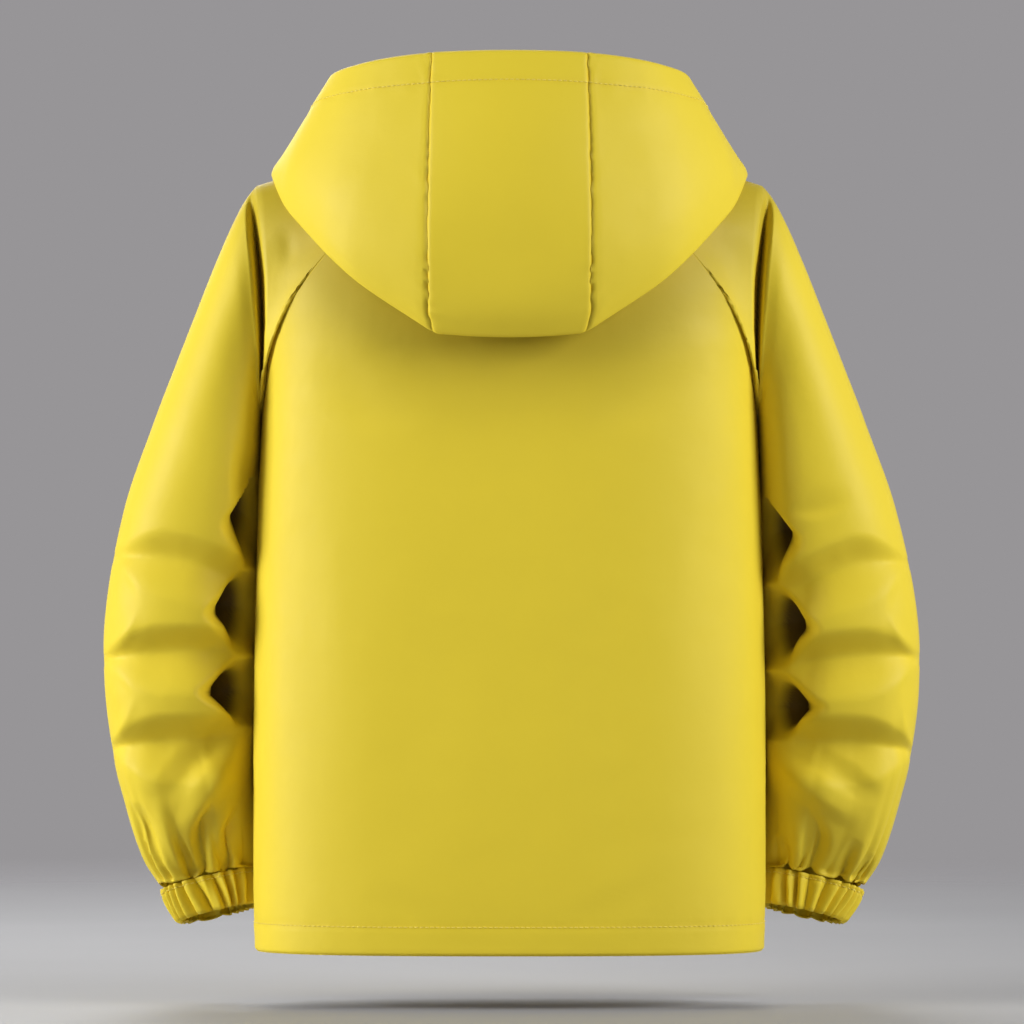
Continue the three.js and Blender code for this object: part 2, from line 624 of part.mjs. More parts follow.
// The whole left half of the neck seam, from the throat to the middle of the back, along the
// straight edges of the pieces under it.
const neckPoints = [
  ...frontRow(FRONT_NECK_Z),
  ...[...neckArcPoints].reverse(),
  ...backRow(BACK_NECK_Z).slice(BACK_COLUMNS / 2).reverse(),
];
const neckRun = [0];
for (let i = 1; i < neckPoints.length; i += 1) {
  neckRun.push(neckRun[i - 1] + neckPoints[i].distanceTo(neckPoints[i - 1]));
}
function neckSeam(share) {
  const wanted = share * neckRun.at(-1);
  let i = 0;
  while (i < neckRun.length - 2 && neckRun[i + 1] < wanted) i += 1;
  const between = (wanted - neckRun[i]) / (neckRun[i + 1] - neckRun[i]);
  return neckPoints[i].clone().lerp(neckPoints[i + 1], between);
}

function hoodSection(s) {
  const neck = neckSeam(s.neck);
  const fold = V(s.foldX, s.foldY, s.foldZ);
  const rim = V(s.rimX, s.rimY, s.rimZ);
  const out = V(fold.x - neck.x, fold.y - neck.y, 0).normalize();
  const grown = Math.min(1, s.lift / 8);
  const tip = fold.clone().sub(neck.clone().add(rim).multiplyScalar(0.5)).normalize();
  const across = rim.clone().sub(neck);
  across.addScaledVector(tip, -across.dot(tip)).normalize();
  const stand = neck.clone().add(V(0, 0, HOOD_STAND * (0.4 + 0.6 * grown))).addScaledVector(out, 1);
  const over = stand.clone().addScaledVector(out, 10 * grown).add(V(0, 0, 2 * grown));
  const under = neck.clone().lerp(fold, 0.5).addScaledVector(out, s.lift * 0.8);
  under.z += s.lift;
  const inFold = neck.clone().lerp(fold, 0.84).add(V(0, 0, s.lift * 0.5));
  const outFold = fold.clone().addScaledVector(tip, -s.roll).addScaledVector(across, s.roll);
  // The outside swells backwards at the middle panel and sideways as well beside it.
  const swell = out.clone().setX((out.x * (1 - s.neck)) / (1 - WIDEST_NECK));
  const low = outFold.clone().lerp(rim, 0.3).addScaledVector(swell, s.bulge * 0.9);
  const high = outFold.clone().lerp(rim, 0.68).addScaledVector(swell, s.bulge);
  return pathThrough([neck, stand, over, under, inFold, fold, outFold, low, high, rim]);
}

// One column of points down a section of the hood.
const hoodColumn = (section) => HOOD_ROWS.map((share) => section(share));

const hoodTable = HOOD_FOLDS.map((row, at) => ({ at, ...row, ...HOOD_RIM[at] }));
const sideSections = tableBy("at", hoodTable);
const SEAM_AT = HOOD_FOLDS.length - 1;
const SEAM_NECK = HOOD_FOLDS[SEAM_AT].neck;
const sideAt = Array.from({ length: HOOD_COLUMNS + 1 }, (_, i) => sideSections((SEAM_AT * i) / HOOD_COLUMNS));
const sideColumns = sideAt.map((s) => hoodColumn(hoodSection(s)));
// The centre panel is a strip between two seams, slightly rounded across.
const seamColumn = sideColumns.at(-1);
const middleColumn = hoodColumn(hoodSection(HOOD_MIDDLE));
const centrePlaces = evenPlaces(HOOD_CENTRE_COLUMNS + 1, false);
const centreColumns = centrePlaces.map((place) => {
  const across = 2 * place - 1;
  return seamColumn.map((p, row) => {
    const round = middleColumn[row].clone().lerp(p, across * across);
    round.x = p.x * across;
    return round;
  });
});

// The points of the neck seam between two shares of it, both ends among them.
function seamBetween(from, to) {
  const whole = neckRun.at(-1);
  const all = neckRun.map((run) => run / whole);
  const between = all.filter((share) => share > from + 0.004 && share < to - 0.004);
  const shares = [from, ...between, to];
  return shares.map((share) => ({ share, point: neckSeam(share) }));
}
const sideSeam = seamBetween(0, SEAM_NECK);
const halfSeam = seamBetween(SEAM_NECK, 1).slice(0, -1);
const centreSeam = [
  ...halfSeam.map(({ share, point }) => ({ share: -share, point: mirrored(point) })),
  { share: 1, point: neckSeam(1) },
  ...halfSeam.reverse(),
];
const centreShare = (share) => 0.5 + (Math.sign(share) * (1 - Math.abs(share))) / (1 - SEAM_NECK) / 2;

// A hood panel's rows. The first lies along the neck seam, on the points of the pieces under it.
function hoodPanel(columns, places, seam, seamPlaces, atStart) {
  const rows = HOOD_ROWS.map((_, row) => ({
    places,
    points: trimEnds(columns.map((column) => column[row]), atStart, true, HOOD_TRIM),
  }));
  const raised = seam.map(({ point }) => point.clone().setZ(point.z + SEAM_GAP));
  rows[0] = { places: seamPlaces, points: trimEnds(raised, atStart, true, HOOD_TRIM) };
  return rows;
}

const flipRings = (rings) => [...rings].reverse();

// The zip, behind the fronts' edges
const TAPE_WIDTH = 15;
const TAPE_CLOTH = 1;
const TAPE_INNER_X = 0.3; // half the gap between the two tapes
const ZIP_TOP_DROP = 1; // the tapes end this far under the neck seam

function tapeRings() {
  const behind = CLOTH + SEAM_GAP;
  const heights = frontRows.map((z) => Math.min(z, FRONT_NECK_Z - ZIP_TOP_DROP));
  return heights.map((z) => {
    const edge = frontPoint(z, 0);
    const points = [0, 1].map((share) => {
      const x = TAPE_INNER_X + share * TAPE_WIDTH;
      return V(x, edge.y + behind + 0.0015 * x * x, z);
    });
    return rowOf(points.reverse());
  });
}

// Metal of the zip
const SLIDER = { width: 9, height: 13, thick: 3.2, centreZ: -84 };
const SLIDER_CLEAR = 0.15; // keeps the flat slider just off the curved tapes
const BAIL = { width: 2.2, height: 8, bar: 1.4, gap: 2.6 };
const PULL = { width: 7, length: 27, thick: 1.4, eyeWidth: 3.4, eyeLength: 7, crossbar: 1.8 };

function manifoldOf(geometry) {
  const bare = geometry.clone();
  bare.deleteAttribute("normal");
  bare.deleteAttribute("uv");
  const merged = mergeVertices(bare);
  return new wasm.Manifold(
    new wasm.Mesh({
      numProp: 3,
      vertProperties: merged.attributes.position.array,
      triVerts: new Uint32Array(merged.index.array),
    }),
  );
}

function geometryOf(solid) {
  const { numProp, vertProperties, triVerts } = solid.getMesh();
  const points = [];
  for (let i = 0; i < vertProperties.length; i += numProp) {
    points.push(V(vertProperties[i], vertProperties[i + 1], vertProperties[i + 2]));
  }
  const faces = [];
  for (let i = 0; i < triVerts.length; i += 3) faces.push([...triVerts.slice(i, i + 3)]);
  return meshFrom(points, faces);
}

// A flat plate standing in the XZ plane, from an outline and its holes.
function plate(outline, holes, thick) {
  const shape = new THREE.Shape(outline);
  shape.holes = holes.map((hole) => new THREE.Path(hole));
  const solid = new THREE.ExtrudeGeometry(shape, { depth: thick, bevelEnabled: false });
  return solid.rotateX(Math.PI / 2).translate(0, thick / 2, 0);
}

// The slider in its own frame: its back on y = 0, and -Y forwards.
function sliderGeometry() {
  const { width: w, height: h, thick } = SLIDER;
  const body = plate(
    [
      new THREE.Vector2(-w / 2, h / 2),
      new THREE.Vector2(-w / 2, 0),
      new THREE.Vector2(-w * 0.36, -h / 2),
      new THREE.Vector2(w * 0.36, -h / 2),
      new THREE.Vector2(w / 2, 0),
      new THREE.Vector2(w / 2, h / 2),
      new THREE.Vector2(0, h * 0.36),
    ].reverse(),
    [],
    thick,
  ).translate(0, -thick / 2, 0);
  const reach = BAIL.gap + BAIL.bar;
  const bail = new THREE.BoxGeometry(BAIL.width, reach + 0.4, BAIL.height);
  bail.translate(0, -thick - reach / 2 + 0.2, 0);
  const under = new THREE.BoxGeometry(BAIL.width * 2, BAIL.gap, BAIL.height - 2 * BAIL.bar);
  under.translate(0, -thick - BAIL.gap / 2, 0);
  return geometryOf(manifoldOf(body).add(manifoldOf(bail).subtract(manifoldOf(under))));
}

// The pull tab in its own frame: it hangs from a crossbar whose axis is the X axis.
function pullGeometry() {
  const { width: w, length, thick, eyeWidth, eyeLength, crossbar } = PULL;
  const top = crossbar / 2;
  const outline = [
    new THREE.Vector2(-w * 0.38, top),
    new THREE.Vector2(-w * 0.38, -eyeLength - 1.5),
    new THREE.Vector2(-w / 2, -eyeLength - 5),
    new THREE.Vector2(-w / 2, 2 - length),
    new THREE.Vector2(-w / 2 + 2, -length),
    new THREE.Vector2(w / 2 - 2, -length),
    new THREE.Vector2(w / 2, 2 - length),
    new THREE.Vector2(w / 2, -eyeLength - 5),
    new THREE.Vector2(w * 0.38, -eyeLength - 1.5),
    new THREE.Vector2(w * 0.38, top),
  ];
  const eye = [
    new THREE.Vector2(-eyeWidth / 2, -top),
    new THREE.Vector2(eyeWidth / 2, -top),
    new THREE.Vector2(eyeWidth / 2, -eyeLength),
    new THREE.Vector2(-eyeWidth / 2, -eyeLength),
  ];
  return plate(outline, [eye], thick);
}

// Materials
const cloth = (color) => new THREE.MeshStandardMaterial({ color, roughness: 0.55, metalness: 0 });
const shell = cloth(0xe2cb3c);
const hoodShell = cloth(0xe8d244);
const cuffShell = cloth(0xd9bf35);
const tapeCloth = cloth(0xcdb22c);
const metal = new THREE.MeshStandardMaterial({ color: 0xb9bbb4, roughness: 0.35, metalness: 0.9 });

const jacket = new THREE.Group();
function add(name, geometry, material, parent = jacket) {
  const mesh = new THREE.Mesh(geometry, material);
  mesh.name = name;
  parent.add(mesh);
  return mesh;
}

// The normals that the trunk's panels have along the raglan seam, for the sleeves to share.
function edgeNormals(rings, atEnd) {
  const { points, faces, numbered } = skin(rings, false);
  const normals = normalsOf({ points, faces });
  return numbered.map(({ first, places }) => normals[atEnd ? first + places.length - 1 : first]);
}
const backSeamNormals = edgeNormals(backPanel, true).slice(TRUNK_ROWS);
const frontSeamNormals = edgeNormals(frontLeftPanel, false).slice(TRUNK_ROWS);
const raglanNormals = [
  backSeamNormals[0].clone().add(frontSeamNormals[0]).normalize(),
  ...backSeamNormals.slice(1),
  ...Array.from({ length: NECK_ARC_COLUMNS - 1 }, () => null),
  ...frontSeamNormals.slice(1).reverse(),
];

// Seam entries for one end of a panel's rows, from the row that starts the seam.
const alongRows = (normals, at, firstRow) =>
  normals.map((normal, i) => ({ ring: firstRow + i, at: at(firstRow + i), normal }));
const flipped = (rings, seams) => seams.map((seam) => ({ ...seam, ring: rings.length - 1 - seam.ring }));
const firstColumn = () => 0;

// Adds a piece on the wearer's left and its mirror image on the right.
function addBoth(name, geometry, material) {
  add(`${name}_left`, geometry, material);
  add(`${name}_right`, mirroredWall(geometry), material);
}

const underarmNormal = raglanNormals[0];
const backEdge = [underarmNormal, ...backSeamNormals.slice(1)];
const frontEdge = [underarmNormal, ...frontSeamNormals.slice(1)];
const backSeams = [
  ...alongRows(backEdge, () => BACK_COLUMNS, TRUNK_ROWS),
  ...alongRows(backEdge.map(mirrored), firstColumn, TRUNK_ROWS),
];
add("back", wall(backPanel, { seams: backSeams }), shell);
addBoth("front", wall(frontLeftPanel, { seams: alongRows(frontEdge, firstColumn, TRUNK_ROWS) }), shell);

// Where a sleeve meets its cuff, both walls point straight away from the middle of the ring.
function spokes({ points }) {
  const middle = points.reduce((sum, p) => sum.add(p), V(0, 0, 0)).divideScalar(points.length);
  return points.map((p) => p.clone().sub(middle).normalize());
}
const roundRing = (ring, normals) =>
  normals.map((normal, at) => ({ ring, at, normal })).filter(({ normal }) => normal);

for (const [side, placed] of [["left", (made) => made], ["right", mirroredWall]]) {
  const sleeve = sleeveRings(side);
  const ends = [...roundRing(0, raglanNormals), ...roundRing(sleeve.length - 1, spokes(sleeve.at(-1)))];
  const sleeveWall = wall(flipRings(sleeve), { closed: true, seams: flipped(sleeve, ends) });
  add(`sleeve_${side}`, placed(sleeveWall), shell);
  const cuff = cuffRings(side);
  const seams = flipped(cuff, roundRing(0, spokes(cuff[0])));
  add(`cuff_${side}`, placed(wall(flipRings(cuff), { closed: true, cloth: CUFF_CLOTH, seams })), cuffShell);
}

const hoodLeft = hoodPanel(
  sideColumns,
  sideAt.map((row) => row.neck / SEAM_NECK),
  sideSeam,
  sideSeam.map(({ share }) => share / SEAM_NECK),
  false,
);
const centreOut = centreSeam.map(({ share }) => centreShare(share));
const hoodCentre = hoodPanel(centreColumns, centrePlaces, centreSeam, centreOut, true);
const hoodEdge = edgeNormals(flipRings(hoodLeft), true).reverse();
const lastOf = (rings) => (row) => rings[row].places.length - 1;
const sideSeams = alongRows(hoodEdge, lastOf(hoodLeft), 0);
const centreSeams = [
  ...alongRows(hoodEdge.map(mirrored), firstColumn, 0),
  ...alongRows(hoodEdge, lastOf(hoodCentre), 0),
];
add("hood_centre", wall(hoodCentre, { seams: centreSeams }), hoodShell);
addBoth("hood_side", wall(flipRings(hoodLeft), { seams: flipped(hoodLeft, sideSeams) }), hoodShell);

addBoth("zip_tape", wall(tapeRings(), { cloth: TAPE_CLOTH }), tapeCloth);

// The slider lies on the tapes near the neck, sloping with the chest.
const zipAt = frontPoint(SLIDER.centreZ, 0);
const above = frontPoint(SLIDER.centreZ + SLIDER.height, 0);
const zip = new THREE.Group();
zip.rotation.x = -Math.atan2(above.y - zipAt.y, above.z - zipAt.z);
zip.position.set(0, zipAt.y + CLOTH - SLIDER_CLEAR, zipAt.z);
jacket.add(zip);
add("zip_slider", sliderGeometry(), metal, zip);
const pull = add("zip_pull", pullGeometry(), metal, zip);
pull.position.set(0, -SLIDER.thick - BAIL.gap / 2, BAIL.height / 2 - BAIL.bar - PULL.crossbar / 2 - 0.3);

export default jacket;
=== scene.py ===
"""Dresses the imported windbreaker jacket: fine cloth shells on the forms of its solids, with their
creases, seams, stitching and zip teeth, and the plain studio that it is shown in."""
from types import SimpleNamespace

import bpy
import numpy as np
from bpy.props import FloatProperty, FloatVectorProperty, PointerProperty
from bpy.types import Operator, Panel, PropertyGroup
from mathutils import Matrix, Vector


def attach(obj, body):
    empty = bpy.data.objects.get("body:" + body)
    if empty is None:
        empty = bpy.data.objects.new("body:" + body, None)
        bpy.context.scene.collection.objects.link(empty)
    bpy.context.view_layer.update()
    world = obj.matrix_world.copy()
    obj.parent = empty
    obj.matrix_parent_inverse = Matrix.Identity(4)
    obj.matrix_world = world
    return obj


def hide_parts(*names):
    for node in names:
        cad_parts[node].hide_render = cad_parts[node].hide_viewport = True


bl_info = {
    "name": "Windbreaker jacket",
    "version": (1, 0, 0),
    "blender": (4, 5, 0),
    "location": "3D View > Sidebar > Jacket",
    "description": "Sews a hooded windbreaker over its packed solids and sets up a studio",
    "category": "Add Mesh",
}

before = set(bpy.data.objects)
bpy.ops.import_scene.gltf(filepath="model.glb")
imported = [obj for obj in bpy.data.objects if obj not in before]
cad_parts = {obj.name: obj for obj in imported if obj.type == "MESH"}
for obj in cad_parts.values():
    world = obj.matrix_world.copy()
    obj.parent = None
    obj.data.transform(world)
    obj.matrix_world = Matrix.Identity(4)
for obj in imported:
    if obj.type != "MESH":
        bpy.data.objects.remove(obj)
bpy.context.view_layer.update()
BODY = "jacket"
MM = 0.001  # the tables and grids are in millimetres, and the meshes in metres

# The trunk's driving sizes
HEM_Z = -598.5
UNDERARM_Z = -188
BACK_NECK_Z = -8
FRONT_NECK_Z = -62
FRONT_EDGE_X = 6
ZIP_STITCHES_IN = 7
BACK_ROWS_BELOW, BACK_ROWS_ABOVE, BACK_COLUMNS = 125, 60, 150
FRONT_ROWS_BELOW, FRONT_ROWS_ABOVE, FRONT_COLUMNS = 110, 50, 70


class Line:
    """A smooth line through rows of numbers at rising knots. A steady one never overshoots."""

    def __init__(self, knots, rows, steady):
        self.knots = np.asarray(knots, float)
        self.rows = np.asarray(rows, float).reshape(len(knots), -1)
        gap = np.diff(self.knots)[:, None]
        slope = np.diff(self.rows, axis=0) / gap
        before, after = slope[:-1], slope[1:]
        share = gap[:-1] / (gap[:-1] + gap[1:])
        if steady:
            same = before * after > 0
            flow = (1 - share) / np.where(same, after, 1) + share / np.where(same, before, 1)
            inner = np.where(same, 1 / np.where(same, flow, 1), 0)
        else:
            inner = before * (1 - share) + after * share
        self.tangents = np.vstack([slope[:1], inner, slope[-1:]])

    def __call__(self, x):
        x = np.clip(np.asarray(x, float), self.knots[0], self.knots[-1])
        i = np.clip(np.searchsorted(self.knots, x, side="left") - 1, 0, len(self.knots) - 2)
        h = (self.knots[i + 1] - self.knots[i])[..., None]
        t = (x - self.knots[i])[..., None] / h
        a = t * t * (3 - 2 * t)
        bend = h * t * (1 - t) * ((1 - t) * self.tangents[i] - t * self.tangents[i + 1])
        return self.rows[i] * (1 - a) + self.rows[i + 1] * a + bend


class Table:
    """Named sizes that change smoothly along the table's first column."""

    def __init__(self, names, *rows):
        self.names = names.split()[1:]
        rows = np.array(rows, float)
        self.line = Line(rows[:, 0], rows[:, 1:], True)

    def __call__(self, x):
        values = self.line(x)
        return SimpleNamespace(**{name: values[..., i] for i, name in enumerate(self.names)})


def run_along(grid, axis):
    """How far each point of a grid lies along its row or column."""
    step = np.linalg.norm(np.diff(grid, axis=axis), axis=-1)
    start = np.zeros_like(np.take(step, [0], axis))
    return np.concatenate([start, np.cumsum(step, axis)], axis)


class Path:
    """A smooth path through points, read by the share of its length."""

    def __init__(self, points):
        points = np.asarray(points, float)
        run = run_along(points, 0)
        self.length = run[-1]
        self.line = Line(run, points, False)

    def __call__(self, share):
        return self.line(np.asarray(share) * self.length)


BACK = Table(
    "z depth half_width square sweep rise",
    (HEM_Z, 99, 195, 2.7, 90, 0),
    (-545, 101, 196.5, 2.7, 90, 0),
    (-440, 102, 196.5, 2.7, 90, 0),
    (-276, 102, 193.5, 2.7, 90, 0),
    (UNDERARM_Z, 102, 190, 2.7, 90, 0),
    (-180, 102, 189.5, 2.7, 84, -3),
    (-163, 101.5, 189, 2.7, 79, -5),
    (-138, 100.5, 188.5, 2.7, 73.5, 2),
    (-116, 99, 188, 2.6, 63, 5),
    (-97, 97, 188, 2.6, 54, 5),
    (-70, 92, 187, 2.5, 43, 6),
    (-45, 84, 185, 2.5, 32, 7),
    (-24, 74, 178, 2.5, 21.5, 7),
    (BACK_NECK_Z, 60, 168, 2.5, 12.7, 5),
)
FRONT = Table(
    "z depth half_width square sweep rise",
    (HEM_Z, 97, 195, 2.6, 90, 0),
    (-545, 99, 196.5, 2.6, 90, 0),
    (-440, 100, 196.5, 2.6, 90, 0),
    (-276, 99.5, 193.5, 2.6, 90, 0),
    (UNDERARM_Z, 98.5, 190, 2.6, 90, 0),
    (-184, 98.5, 189.7, 2.6, 83, 1),
    (-172, 98, 189.3, 2.6, 78, 5),
    (-152, 97, 188.5, 2.55, 72, 12),
    (-132, 95.5, 185, 2.5, 64, 18),
    (-114, 93, 178, 2.4, 57, 24),
    (-99, 90, 166, 2.3, 51, 31),
    (-86, 86, 148, 2.2, 46, 38),
    (-74, 81.5, 124, 2.1, 42, 43),
    (FRONT_NECK_Z, 76, 98, 2, 40, 47),
)


def trunk_point(section, z, turn, facing):
    """A point of the trunk: turn is 0 at the middle and 1 at the panel's left edge."""
    s = section(z)
    angle = np.radians(s.sweep) * np.abs(turn)
    power = 2 / s.square
    x = np.sign(turn) * s.half_width * np.sin(angle) ** power
    y = facing * s.depth * np.maximum(np.cos(angle), 0) ** power
    return np.stack(np.broadcast_arrays(x, y, z + s.rise * turn * turn), -1)


def back_point(z, turn):
    return trunk_point(BACK, z, turn, 1)


def front_point(z, turn):
    return trunk_point(FRONT, z, turn, -1)


def closer_at_ends(count):
    """Shares from 0 to 1 that lie closer together towards both ends, where the seams are."""
    share = np.linspace(0, 1, count + 1)
    return share - 0.75 * np.sin(2 * np.pi * share) / (2 * np.pi)


def even_rows(point, heights, low, high, columns):
    """Rows of points across a panel, from turn low to turn high."""
    z = np.asarray(heights, float)[:, None]
    low = np.broadcast_to(np.asarray(low, float).reshape(-1, 1), z.shape)
    turns = low + (high - low) * np.linspace(0, 1, 12 * columns)
    run = run_along(point(z, turns), 1)
    wanted = closer_at_ends(columns)
    even = np.stack([np.interp(wanted * r[-1], r, t) for r, t in zip(run, turns)])
    return point(z, even)


def panel_heights(point, neck_z, rows_below, rows_above):
    """Heights of a panel's rows: close at the hem, then even up its side and its raglan seam."""
    rim = HEM_Z + np.array([0, 0.15, 0.5, 1.0, 1.7])
    below = np.linspace(HEM_Z + 3, UNDERARM_Z, rows_below)
    fine = np.linspace(UNDERARM_Z, neck_z, 400)
    run = run_along(point(fine, np.ones_like(fine)), 0)
    above = np.interp(np.linspace(0, run[-1], rows_above + 1)[1:], run, fine)
    return np.concatenate([rim, below, above])


def front_edge_turns(heights):
    """The turn at which each of a front's rows reaches the zip."""
    low = np.zeros(len(heights))
    high = np.ones(len(heights))
    for _ in range(40):
        middle = (low + high) / 2
        inside = front_point(heights, middle)[:, 0] < FRONT_EDGE_X
        low = np.where(inside, middle, low)
        high = np.where(inside, high, middle)
    return low


def mirrored(grid):
    """The same grid on the wearer's right, with its outside still outside."""
    return (grid * (-1, 1, 1))[:, ::-1]


def mirrored_values(values):
    return values[:, ::-1]


def normals_of(grid, closed=False):
    """Outward unit normals of a grid, whose columns lie to the right of its rows' direction."""
    along = np.gradient(grid, axis=0)
    if closed:
        across = np.roll(grid, -1, 1) - np.roll(grid, 1, 1)
    else:
        across = np.gradient(grid, axis=1)
    normal = np.cross(along, across)
    return normal / np.maximum(np.linalg.norm(normal, axis=-1, keepdims=True), 1e-9)


def bump(x):
    return np.where(np.abs(x) < 1, (1 - np.minimum(np.abs(x), 1) ** 2) ** 2, 0)


def rise_between(x, low, high):
    t = np.clip((x - low) / (high - low), 0, 1)
    return t * t * (3 - 2 * t)


def ripple(run, pitch, seed):
    """An uneven ripple along a seam, from -1 to 1, whose bumps wander about their pitch."""
    turn = 2 * np.pi * run / pitch
    wander = np.sin(turn + 1.7 * np.sin(0.31 * turn + seed) + seed)
    return wander * (0.55 + 0.45 * np.sin(0.17 * turn + 2.3 * seed))


class Creases:
    """Creases laid one by one, seen from behind and added to any cloth that faces the same way.

    Each is a path of points: x, z, how far it reaches to the left and to the right of the path,
    its depth, which is negative where it stands proud, and how crisp it is, from 0 to 1.
    """

    def __init__(self, *paths):
        self.paths = []
        for points in paths:
            rows = np.array(points, float)
            line = Line(run_along(rows[:, :2], 0), rows, False)
            self.paths.append(line(np.linspace(0, line.knots[-1], 6 * len(rows) - 5)))

    def depth(self, grid, normals, facing, shift=(0, 0), size=1):
        seen = rise_between(normals[..., 1] * facing, -0.02, 0.12)
        total = np.zeros(seen.shape)
        for path in self.paths:
            line = path.copy()
            line[:, :2] += shift
            margin = line[:, 2:4].max()
            low, high = line[:, :2].min(0) - margin, line[:, :2].max(0) + margin
            place = grid[..., [0, 2]]
            close = np.all((place > low) & (place < high), -1) & (seen > 0)
            total[close] += self.profile(line, place[close])
        return -total * seen * size

    def profile(self, line, place):
        nearest = np.full(len(place), np.inf)
        depth = np.zeros(len(place))
        for start, end in zip(line[:-1], line[1:]):
            along = end[:2] - start[:2]
            share = np.clip((place - start[:2]) @ along / (along @ along), 0, 1)
            off = place - start[:2] - share[:, None] * along
            away = np.hypot(off[:, 0], off[:, 1])
            left, right, deep, crisp = (start + (end - start) * share[:, None]).T[2:]
            on_left = along[1] * off[:, 0] - along[0] * off[:, 1] > 0
            t = np.minimum(away / np.maximum(np.where(on_left, left, right), 0.3), 1)
            shape = (1 - crisp) * bump(t) + crisp * (1 - t) ** 1.7
            depth = np.where(away < nearest, deep * shape, depth)
            nearest = np.minimum(away, nearest)
        return depth


def seam_roll(distance, depth=1.0, reach=1.0):
    """Cloth turns in at a seam, which leaves a groove between two pieces."""
    return -depth * np.exp(-((distance / reach) ** 2))


def stitch_groove(distance, at, depth=0.45):
    """A row of topstitching pulls the cloth in."""
    return -depth * np.exp(-(((distance - at) / 1.3) ** 2))


def turned_edge(distance, at):
    """A turned hem is a layer thicker up to its stitching, which lies in a groove."""
    return stitch_groove(distance, at) + 0.35 * (1 - rise_between(distance, at - 1, at + 1))


def pinched(seam, stitches):
    """How far the sewing pinches the cloth at these distances from it, from 0 to 1, which weights the
    painted shade along seams and stitching.
    """
    return np.minimum(np.exp(-seam / 2.5) + np.exp(-np.abs(stitches) / 1.5), 1)


def puckers(distance, run, size, pitch, reach, seed):
    return size * ripple(run, pitch, seed) * np.exp(-distance / reach)


class EdgeRuns:
    """How far each point of a grid is from the grid's four edges."""

    def __init__(self, grid):
        self.up = run_along(grid, 0)
        self.across = run_along(grid, 1)
        self.bottom = self.up
        self.top = self.up[-1:] - self.up
        self.first = self.across
        self.last = self.across[:, -1:] - self.across


def moved_out(grid, by, closed=False):
    return grid + normals_of(grid, closed) * by[..., None]


def relaxed(grid, where, passes):
    """A closed grid with its steps smoothed out where the weight is above 0."""
    for _ in range(passes):
        beside = (np.roll(grid, 1, 1) + np.roll(grid, -1, 1)) / 2
        mean = beside.copy()
        mean[1:-1] = (beside[1:-1] + (grid[2:] + grid[:-2]) / 2) / 2
        grid = grid + (mean - grid) * 0.6 * where[..., None]
    return grid


def active_only(thing):
    """Selects one object alone, since an operator acts on all that is selected."""
    for other in bpy.context.selected_objects:
        other.select_set(False)
    thing.select_set(True)
    bpy.context.view_layer.objects.active = thing


def apply_modifier(thing, kind, **settings):
    active_only(thing)
    modifier = thing.modifiers.new(kind.title(), kind)
    for key, value in settings.items():
        setattr(modifier, key, value)
    bpy.ops.object.modifier_apply(modifier=modifier.name)


def new_piece(name, points, faces, material):
    """A mesh object from points in metres, smooth shaded, with one material."""
    mesh = bpy.data.meshes.new(name)
    mesh.from_pydata(points, [], faces)
    mesh.polygons.foreach_set("use_smooth", np.ones(len(mesh.polygons), bool))
    mesh.materials.append(material)
    thing = bpy.data.objects.new(name, mesh)
    bpy.context.scene.collection.objects.link(thing)
    return thing


def cloth_piece(name, grid, material, thickness, closed=False, seam=None, fold=None):
    """Makes a shell of cloth from the grid of its outer face, in place of the CAD node name.

    seam and fold say, from 0 to 1, where painted shade darkens the cloth's colour: where sewing pinches
    the cloth, and where little light reaches in hollows and below the hood.
    """
    rows, columns = grid.shape[:2]
    lower = np.arange(rows - 1)[:, None] * columns
    here = np.arange(columns if closed else columns - 1)
    beside = (here + 1) % columns
    corners = [lower + here, lower + columns + here, lower + columns + beside, lower + beside]
    faces = np.stack(corners, -1).reshape(-1, 4)
    points = grid.reshape(-1, 3) * MM
    piece = new_piece(f"{name}_cloth", points.tolist(), faces.tolist(), material)
    mesh = piece.data
    across = run_along(np.concatenate([grid, grid[:, :1]], 1) if closed else grid, 1) * MM
    up = run_along(grid, 0) * MM
    last = (here + 1) if closed else beside
    u = np.stack([across[:-1, here], across[1:, here], across[1:, last], across[:-1, last]], -1)
    v = np.stack([up[:-1, here], up[1:, here], up[1:, beside], up[:-1, beside]], -1)
    layer = mesh.uv_layers.new(name="cloth")
    layer.data.foreach_set("uv", np.stack([u, v], -1).ravel())
    # The seam and fold weights are painted shade, which darkens the cloth's colour.
    for kind, values in (("seam", seam), ("fold", fold)):
        spread = mesh.attributes.new(kind, "FLOAT", "POINT")
        spread.data.foreach_set("value", np.zeros(rows * columns) if values is None else values.ravel())
    apply_modifier(piece, "SOLIDIFY", thickness=thickness, offset=-1, use_even_offset=False)
    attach(piece, BODY)
    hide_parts(name)
    return piece


def read_by_run(run, values, wanted):
    """Values read at the wanted distance along each column, from the first row."""
    found = [
        [np.interp(wanted, run[:, c], values[:, c, axis]) for axis in range(3)]
        for c in range(values.shape[1])
    ]
    return np.array(found)


def line_up(grid, normals, distance, from_top=False):
    """The line that lies a distance in from a grid's bottom or top edge, and its normals."""
    run = run_along(grid, 0)
    if from_top:
        run = (run[-1:] - run)[::-1]
        grid, normals = grid[::-1], normals[::-1]
    return read_by_run(run, grid, distance), read_by_run(run, normals, distance)


def line_across(grid, normals, distance, from_last=False):
    """The line that lies a distance in from a grid's first or last column, and its normals."""
    return line_up(grid.swapaxes(0, 1), normals.swapaxes(0, 1), distance, from_last)


# One stitch, along its thread: where its rings stand, how thick they are and how high they lie
STITCH_RINGS = ((-0.5, 0.5, -0.3), (-0.3, 1, 0.3), (0.3, 1, 0.3), (0.5, 0.5, -0.3))
STITCH_SIDES = 5


